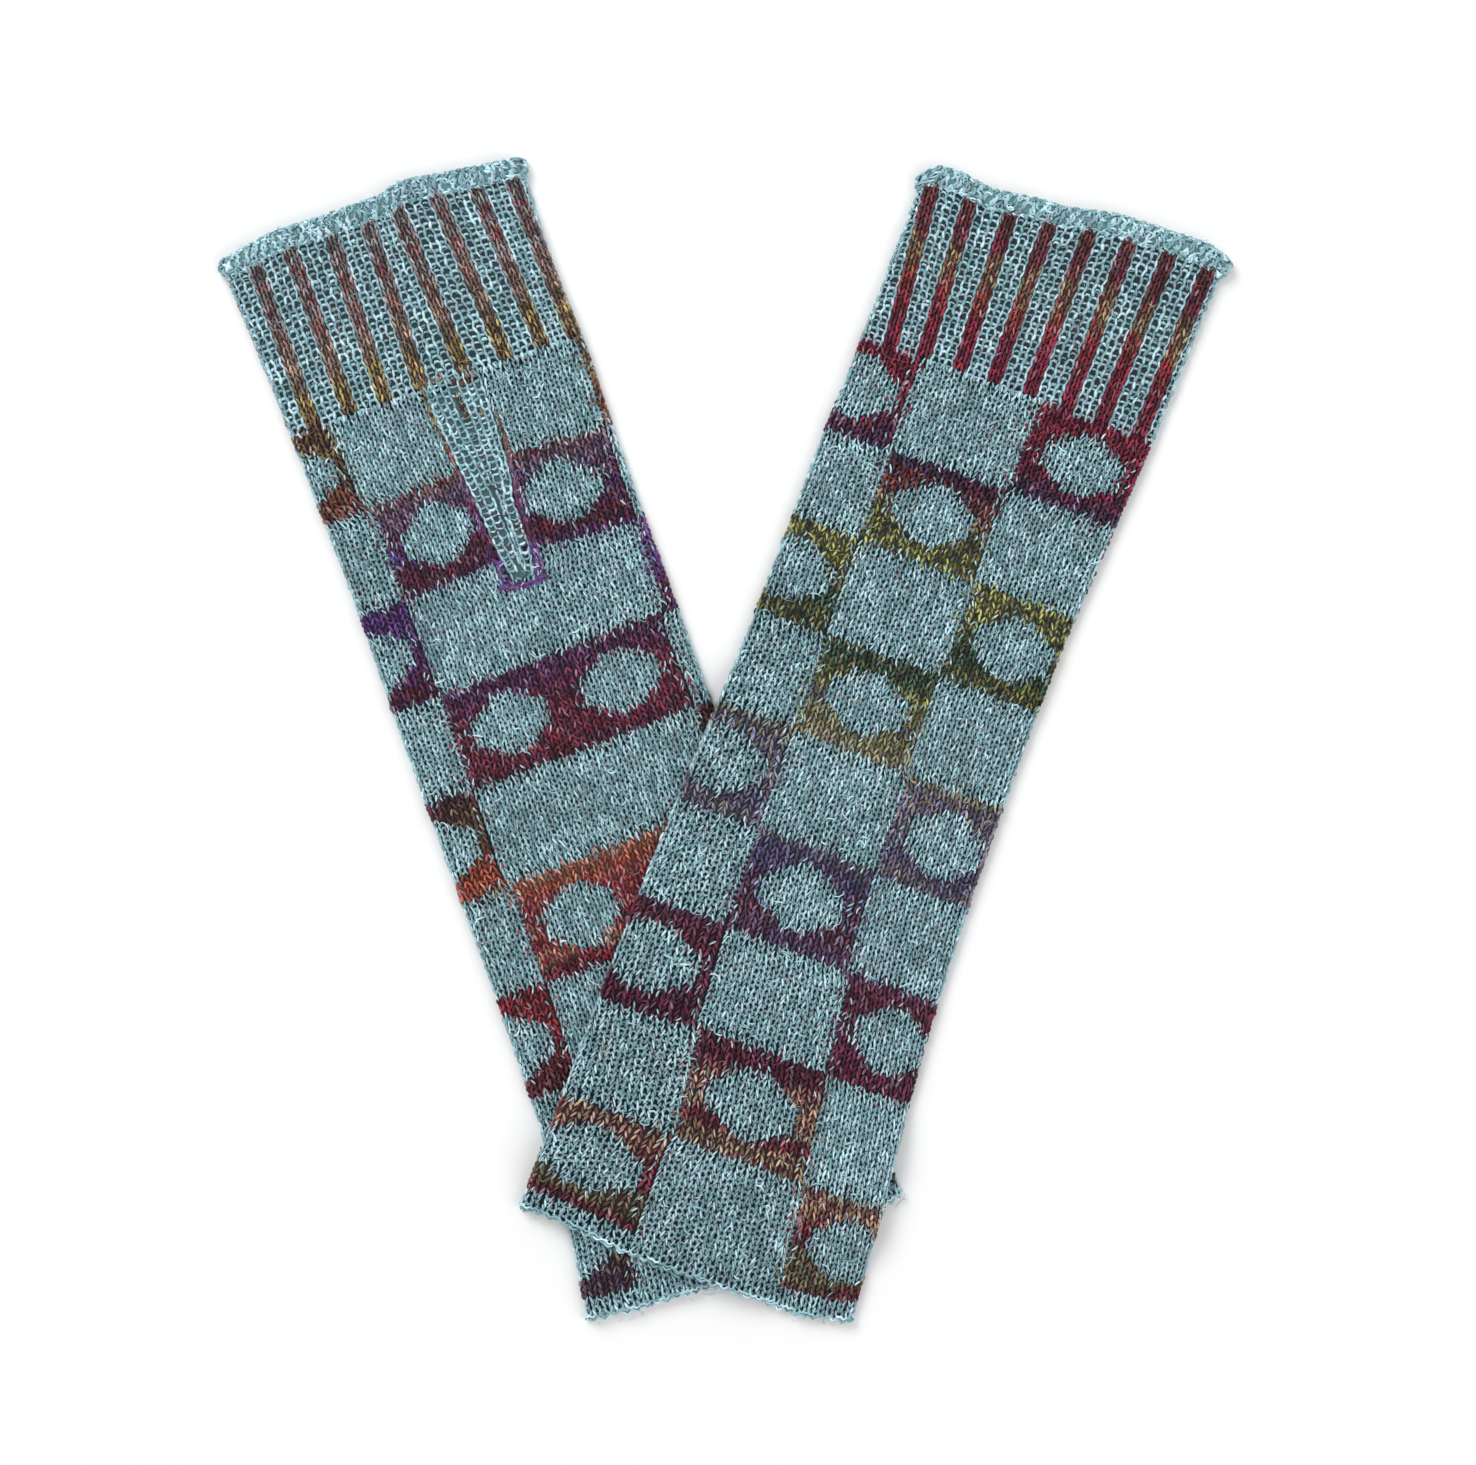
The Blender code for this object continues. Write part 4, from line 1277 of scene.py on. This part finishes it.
def gusset_colour(warmer):
    """The contrast yarn beside the gusset, round its foot and over its top."""
    parts = []
    u = LEG_STEPS[None, :] - 0.5
    tint = contrast_tint(warmer)
    for number, band in enumerate(EDGE_YARN):
        pick = picks(warmer.seed + 220 + 9 * number, EDGE_STRANDS, 6, 4)
        share = ((np.arange(EDGE_STRANDS)[:, None] + pick[0]) / EDGE_STRANDS) ** 0.7
        t = band[0].t + (band[-1].t - band[0].t) * share + (1.9 + 0.8 * pick[2]) * u
        s = read(band, "s", t) + read(band, "half", t) * (2 * pick[3] - 1)
        s = s + 1.44 * (pick[1] - 0.5) * u
        out = -0.12 + 0.25 * hump(u) + 0.15 * pick[4]
        thick = 0.34 + 0.14 * pick[5]
        parts.append(gusset_strands(warmer, s, t, out, thick, tint, 60 + number))
    pick = picks(warmer.seed + 250, FOOT_STRANDS, 6, 4)
    where = [knot.s for knot in FOOT_YARN]
    share = (np.arange(FOOT_STRANDS)[:, None] + pick[0]) / FOOT_STRANDS
    s = where[0] + (where[-1] - where[0]) * share + 2.2 * u
    t = np.interp(s, where, [knot.t for knot in FOOT_YARN]) + 1.5 * (pick[1] - 0.5)
    t = t + 1.6 * (pick[2] - 0.5) * u
    out = -0.05 + 0.25 * hump(u) + 0.15 * pick[3]
    parts.append(gusset_strands(warmer, s, t, out, 0.32 + 0.12 * pick[4], tint, 63))
    for number, patch in enumerate(PATCHES):
        stray = jitter(warmer.seed + 260 + 7 * number, patch.count, 6, 4)
        s = patch.s + 2 * patch.across * stray[0] + 1.6 * stray[1] * u
        t = patch.t + 2 * patch.along * stray[2] + (1.8 + stray[3]) * u
        out = -0.02 + 0.25 * hump(u) + 0.2 * stray[4]
        parts.append(gusset_strands(warmer, s, t, out, 0.27 + 0.12 * stray[5], tint, 64 + number))
    return parts


# ---------------------------------------------------------------- loose yarn and fuzz

LOOSE_GROUND = 1400  # strands tried on each warmer
LOOSE_CONTRAST = 3000
SPILL_SHARE = 0.55  # how many of the stitches beside a border have a spilled strand
SEAM_STITCH = 2.0  # the length of the palm seam that each of its strands takes up
FIBRES = 3400
HAIRS = 80


def loose_strands(warmer, count, contrast):
    """Short stretches of yarn that have slipped out of place, lying at all angles over
    stitches of their own colour and bowed to one side."""
    pick = picks(warmer.seed + 300 + 100 * contrast, count, 8, 5)
    u = LEG_STEPS[None, :] - 0.5
    t0 = 8 + pick[0] * 322
    a0 = pick[1] * girth(warmer, t0)
    reach = 1.6 + (1.4 if contrast else 2.6) * pick[3]
    bow = (pick[4] - 0.5) * 2.2 * hump(u)
    a, t = turned(a0, t0, 2 * pi * pick[2], reach * u, bow)
    out = 0.02 + 0.22 * pick[5] + 0.2 * hump(u) + relief(warmer, a, t)
    clear = over_contrast(warmer, a0, t0) == contrast
    clear = clear & (on_top(warmer, a0, t0) if contrast else (t0 > CUFF + 4) | (t0 < RIB_TOP + 2))
    clear = clear[:, 0]
    # painted light on the loose ground strands, a paler copy; painted shade on the contrast ones, a
    # darker copy
    tint = painted_shade_or_light(contrast_tint(warmer), 0.95) if contrast else painted_shade_or_light(ground_tint(warmer), 1.1)
    thick = 0.22 + (0.12 if contrast else 0.16) * pick[6]
    return [strands(a[clear], t[clear], out[clear], thick[clear], tint, 50)]


def spilled(warmer):
    """Slanted strands of each yarn over stitches of the other, which blur the borders."""
    wale, course, a0, t0 = body_stitches(warmer)
    contrast = is_contrast(warmer, wale, course)
    beside = False
    for across, along in ((1, 0), (-1, 0), (0, 1), (0, -1)):
        other = is_contrast(warmer, np.mod(wale + across, WALES), np.maximum(course + along, 0))
        beside = beside | (other != contrast)
    kept = beside & on_top(warmer, a0, t0) & ~in_gusset(warmer, a0, t0, 1.0)
    kept = kept & (scatter(warmer.seed + 400, wale, course) < SPILL_SHARE)
    parts = []
    u = LEG_STEPS[None, :] - 0.5
    for own in (False, True):
        chosen = kept & (contrast == own)
        pick = [
            scatter(warmer.seed + 401 + n, wale[chosen], course[chosen])[:, None] for n in range(7)
        ]
        lean = 1.4 * (pick[0] - 0.5)
        reach = 1.7 + 0.9 * pick[1]
        a = a0[chosen][:, None] + 1.6 * (pick[2] - 0.5) + reach * np.sin(lean) * u
        t = t0[chosen][:, None] + 1.2 * (pick[3] - 0.5) + reach * np.cos(lean) * u
        a = a + 0.8 * (pick[4] - 0.5) * hump(u)
        out = -0.02 + 0.22 * hump(u) + 0.12 * pick[5]
        tint = ground_tint(warmer) if own else contrast_tint(warmer)
        parts.append(strands(a, t, out, 0.26 + 0.14 * pick[6], tint, 80 + own))
    return parts


def seam_strands(warmer):
    """Slanted strands over the palm seam, below the gusset."""
    count = int((SEAM[1].t - SEAM[0].t) / SEAM_STITCH)
    pick = picks(warmer.seed + 420, count, 6, 6)
    u = LEG_STEPS[None, :] - 0.5
    number = np.arange(count)[:, None]
    t0 = SEAM[0].t + 2 + SEAM_STITCH * (number + 0.5 * pick[0])
    lean = np.where(number % 2, 0.6, -0.6) * (0.6 + 0.6 * pick[1])
    a = palm_seam(warmer, t0) + 0.9 * (pick[2] - 0.5) + 2.2 * np.sin(lean) * u
    t = t0 + 2.2 * np.cos(lean) * u
    out = -0.2 + 0.25 * hump(u) + 0.1 * pick[3]
    thick = 0.32 + 0.1 * pick[4]
    near = over_contrast(warmer, palm_seam(warmer, t0) + 1.2, t0)[:, 0]
    return [
        strands(a[kept], t[kept], out[kept], thick[kept], tint(warmer), seed)
        for kept, tint, seed in ((near, contrast_tint, 90), (~near, ground_tint, 91))
    ]


def long_hairs(warmer, count):
    """Long fine hairs of the contrast yarn that lie over the cloth in open curves."""
    pick = picks(warmer.seed + 440, count, 8, 8)
    u = np.linspace(-0.5, 0.5, 9)[None, :]
    t0 = 12 + pick[0] * 310
    a0 = pick[1] * girth(warmer, t0) / 2
    bow = (pick[4] - 0.5) * 6.0 * hump(u) + (pick[5] - 0.5) * 2.0 * np.sin(2 * pi * u)
    a, t = turned(a0, t0, 2 * pi * pick[2], (6.0 + 6.0 * pick[3]) * u, bow)
    out = 0.35 + 0.3 * pick[6] + relief(warmer, a, t)
    warm = 0.6 * plies(warmer, t)[0] + 0.4 * linear(SALMON)
    return [ribbons(a, t, out, 0.05, warm)]


def fuzz(warmer, count):
    """Fine fibres that stand away from the yarn, each a narrow curved ribbon."""
    pick = picks(warmer.seed + 320, count, 9, 9)
    u = np.linspace(-0.5, 0.5, 5)[None, :]
    t0 = -1 + pick[0] * 336
    a0 = pick[1] * girth(warmer, t0)
    reach = 0.8 + 3.0 * pick[3] ** 2
    a, t = turned(a0, t0, 2 * pi * pick[2], reach * u, (pick[4] - 0.5) * 1.6 * hump(u))
    out = 0.1 + 0.25 * pick[5] + (0.5 * pick[6] ** 2) * (u + 0.5) + relief(warmer, a, t)
    near_edge = smooth((4.0 - np.abs(np.mod(a0, girth(warmer, t0) / 2) - 1.0)) / 3.0)
    out = out + near_edge * pick[7] ** 3 * 0.8 * (u + 0.5)
    pale = linear(AQUA) * 0.6 + linear(MIST) * 0.4
    warm = 0.75 * plies(warmer, t0)[0] + 0.25 * linear(SALMON)
    fibre = np.where(over_contrast(warmer, a0, t0)[..., None], warm, pale)
    tint = np.broadcast_to(fibre * (0.75 + 0.5 * pick[8])[..., None], a.shape + (3,))
    return [ribbons(a, t, out, 0.035 + 0.03 * pick[5], tint)]


# ---------------------------------------------------------------- the backing


def backing_colour(warmer, a, t):
    """What shows through the holes, painted as their shade: dark teal, or the contrast yarn in
    shadow. The roll has its paler teal, and the cuff a mix.
    """
    contrast = over_contrast(warmer, a, t)
    one, two = plies(warmer, t)
    dark = (one * 0.2 + two * 0.8) * 0.22
    rolled = 1 - smooth((t - RIB_TOP + 1) / 2)[..., None]
    teal = linear(SHADOW_TEAL) * (1 - rolled) + linear(ROLL_TEAL) * rolled
    cuff = ((t > RIB_TOP) & (t < CUFF))[..., None]
    teal = np.where(cuff, 0.85 * teal + 0.08 * linear(ROLL_TEAL) + 0.2 * dark, teal)
    return np.where(contrast[..., None], dark, teal)


def add_backing(warmer, wool_backing):
    """The cloth behind the stitches: a tube, finely divided, with a wall of its own."""
    length = directions(warmer)[2]
    roll_t, roll_out = over_roll(np.linspace(len(ROLLED) - 1, 0, 13))
    body = np.concatenate((np.arange(7.0, length - 2.0, BACKING_ROW), [length - 1.0]))
    t = np.concatenate((roll_t, body))[:, None] + 0 * np.arange(BACKING_COLUMNS)
    a = np.arange(BACKING_COLUMNS) / BACKING_COLUMNS * girth(warmer, t)
    roll = settled(warmer, a[: len(roll_t)], t[: len(roll_t)], roll_out[:, None], ROLL_ROOM)
    out = np.concatenate((roll, np.full((len(body), BACKING_COLUMNS), GROUND_DEPTH)))
    points = above_table(warmer, a, t, out + relief(warmer, a, t) * (t > RIB_TOP))
    index = np.arange(len(points)).reshape(a.shape)
    after = np.roll(index, -1, axis=1)
    faces = np.stack((index[:-1], index[1:], after[1:], after[:-1]), axis=-1).reshape(-1, 4)
    middle_a = (a + girth(warmer, t) / BACKING_COLUMNS / 2)[:-1].ravel()
    hole = in_gusset(warmer, middle_a, (t[:-1] + t[1:]).ravel() / 2, -0.6)
    layout = layout_of(warmer, a, t).reshape(-1, 2)
    # painted shade: the backing is coloured as the shadow that shows through the holes
    colours = backing_colour(warmer, a, t).reshape(-1, 3)
    name = f"{warmer.name}_sleeve_cloth"
    return walled(make_mesh(name, points, [faces[~hole]], layout, colours, wool_backing), BACKING)


# ---------------------------------------------------------------- stage


FLOOR_CORNERS = ((-3, -3, -0.0003), (3, -3, -0.0003), (-3, 3, -0.0003), (3, 3, -0.0003))


def add_stage():
    """A pale floor and soft lights above it."""
    bpy.ops.mesh.primitive_plane_add(size=6.0)
    floor = bpy.context.object
    floor.name = "floor"
    floor.data.vertices.foreach_set("co", np.array(FLOOR_CORNERS).ravel())
    floor.data.update()
    paint = bpy.data.materials.new("floor_paint")
    paint.use_nodes = True
    shader = paint.node_tree.nodes["Principled BSDF"]
    shader.inputs["Base Color"].default_value = (0.95, 0.95, 0.95, 1)
    shader.inputs["Roughness"].default_value = 0.9
    floor.data.materials.append(paint)
    for name, where, power, size in (
        ("key", (-0.7, 0.9, 1.3), 16.0, 0.9),
        ("fill", (0.9, -0.5, 1.2), 7.0, 1.2),
    ):
        lamp = bpy.data.lights.new(name, "AREA")
        lamp.energy = power
        lamp.size = size
        held = bpy.data.objects.new(name, lamp)
        held.location = where
        away = -held.location
        held.rotation_euler = away.to_track_quat("-Z", "Y").to_euler()
        bpy.context.scene.collection.objects.link(held)
    world = bpy.data.worlds.new("studio")
    world.use_nodes = True
    world.node_tree.nodes["Background"].inputs["Color"].default_value = (1, 1, 1, 1)
    world.node_tree.nodes["Background"].inputs["Strength"].default_value = 0.55
    bpy.context.scene.world = world
    bpy.context.scene.view_settings.view_transform = "Standard"


VIEW_WIDTH = 442.8  # what the frame's width takes in
VIEW_MIDDLE = (3.8, 2.45)
LENS = 85.0
SENSOR = 36.0


def add_camera():
    """A camera straight overhead, as in the photo."""
    lens = bpy.data.cameras.new("overhead")
    lens.lens = LENS
    lens.sensor_width = SENSOR
    lens.clip_start = 0.05
    lens.clip_end = 20
    camera = bpy.data.objects.new("overhead", lens)
    height = VIEW_WIDTH * MM * LENS / SENSOR
    camera.location = (VIEW_MIDDLE[0] * MM, VIEW_MIDDLE[1] * MM, height)
    bpy.context.scene.collection.objects.link(camera)
    bpy.context.scene.camera = camera


def main():
    add_camera()
    add_stage()
    fibres = fibre_group()
    yarn = wool("wool_yarn", fibres, 0.3, 4200.0, 0.06, 0.6)
    backing = wool("wool_backing", fibres, 0.5, 1500.0, 0.0, 0.4)
    for warmer in WARMERS:
        cloth = add_backing(warmer, backing)
        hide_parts(f"{warmer.name}_sleeve")
        panel = add_gusset(warmer, backing)
        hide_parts(f"{warmer.name}_thumb_gusset")
        stitches = add_body(warmer, yarn) + [add_underside(warmer, yarn)]
        for title, parts in (
            ("cuff_ribs", cuff_contrast(warmer)),
            ("cuff_ladders", cuff_ladders(warmer)),
            ("rolled_edge", rolled_edge(warmer)),
            ("arm_hem", arm_hem(warmer)),
            ("loose_yarn", loose_strands(warmer, LOOSE_GROUND, False) + seam_strands(warmer)),
            ("loose_colour", loose_strands(warmer, LOOSE_CONTRAST, True) + spilled(warmer)),
            ("fuzz", fuzz(warmer, FIBRES) + long_hairs(warmer, HAIRS)),
        ):
            stitches.append(yarn_object(warmer, title, parts, yarn))
        parts = gusset_ladders(warmer) + gusset_colour(warmer)
        ladder = yarn_object(warmer, "gusset_stitches", parts, yarn)
        for made in [cloth, panel, ladder] + stitches:
            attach(made, "root")
        gusset_area()


main()
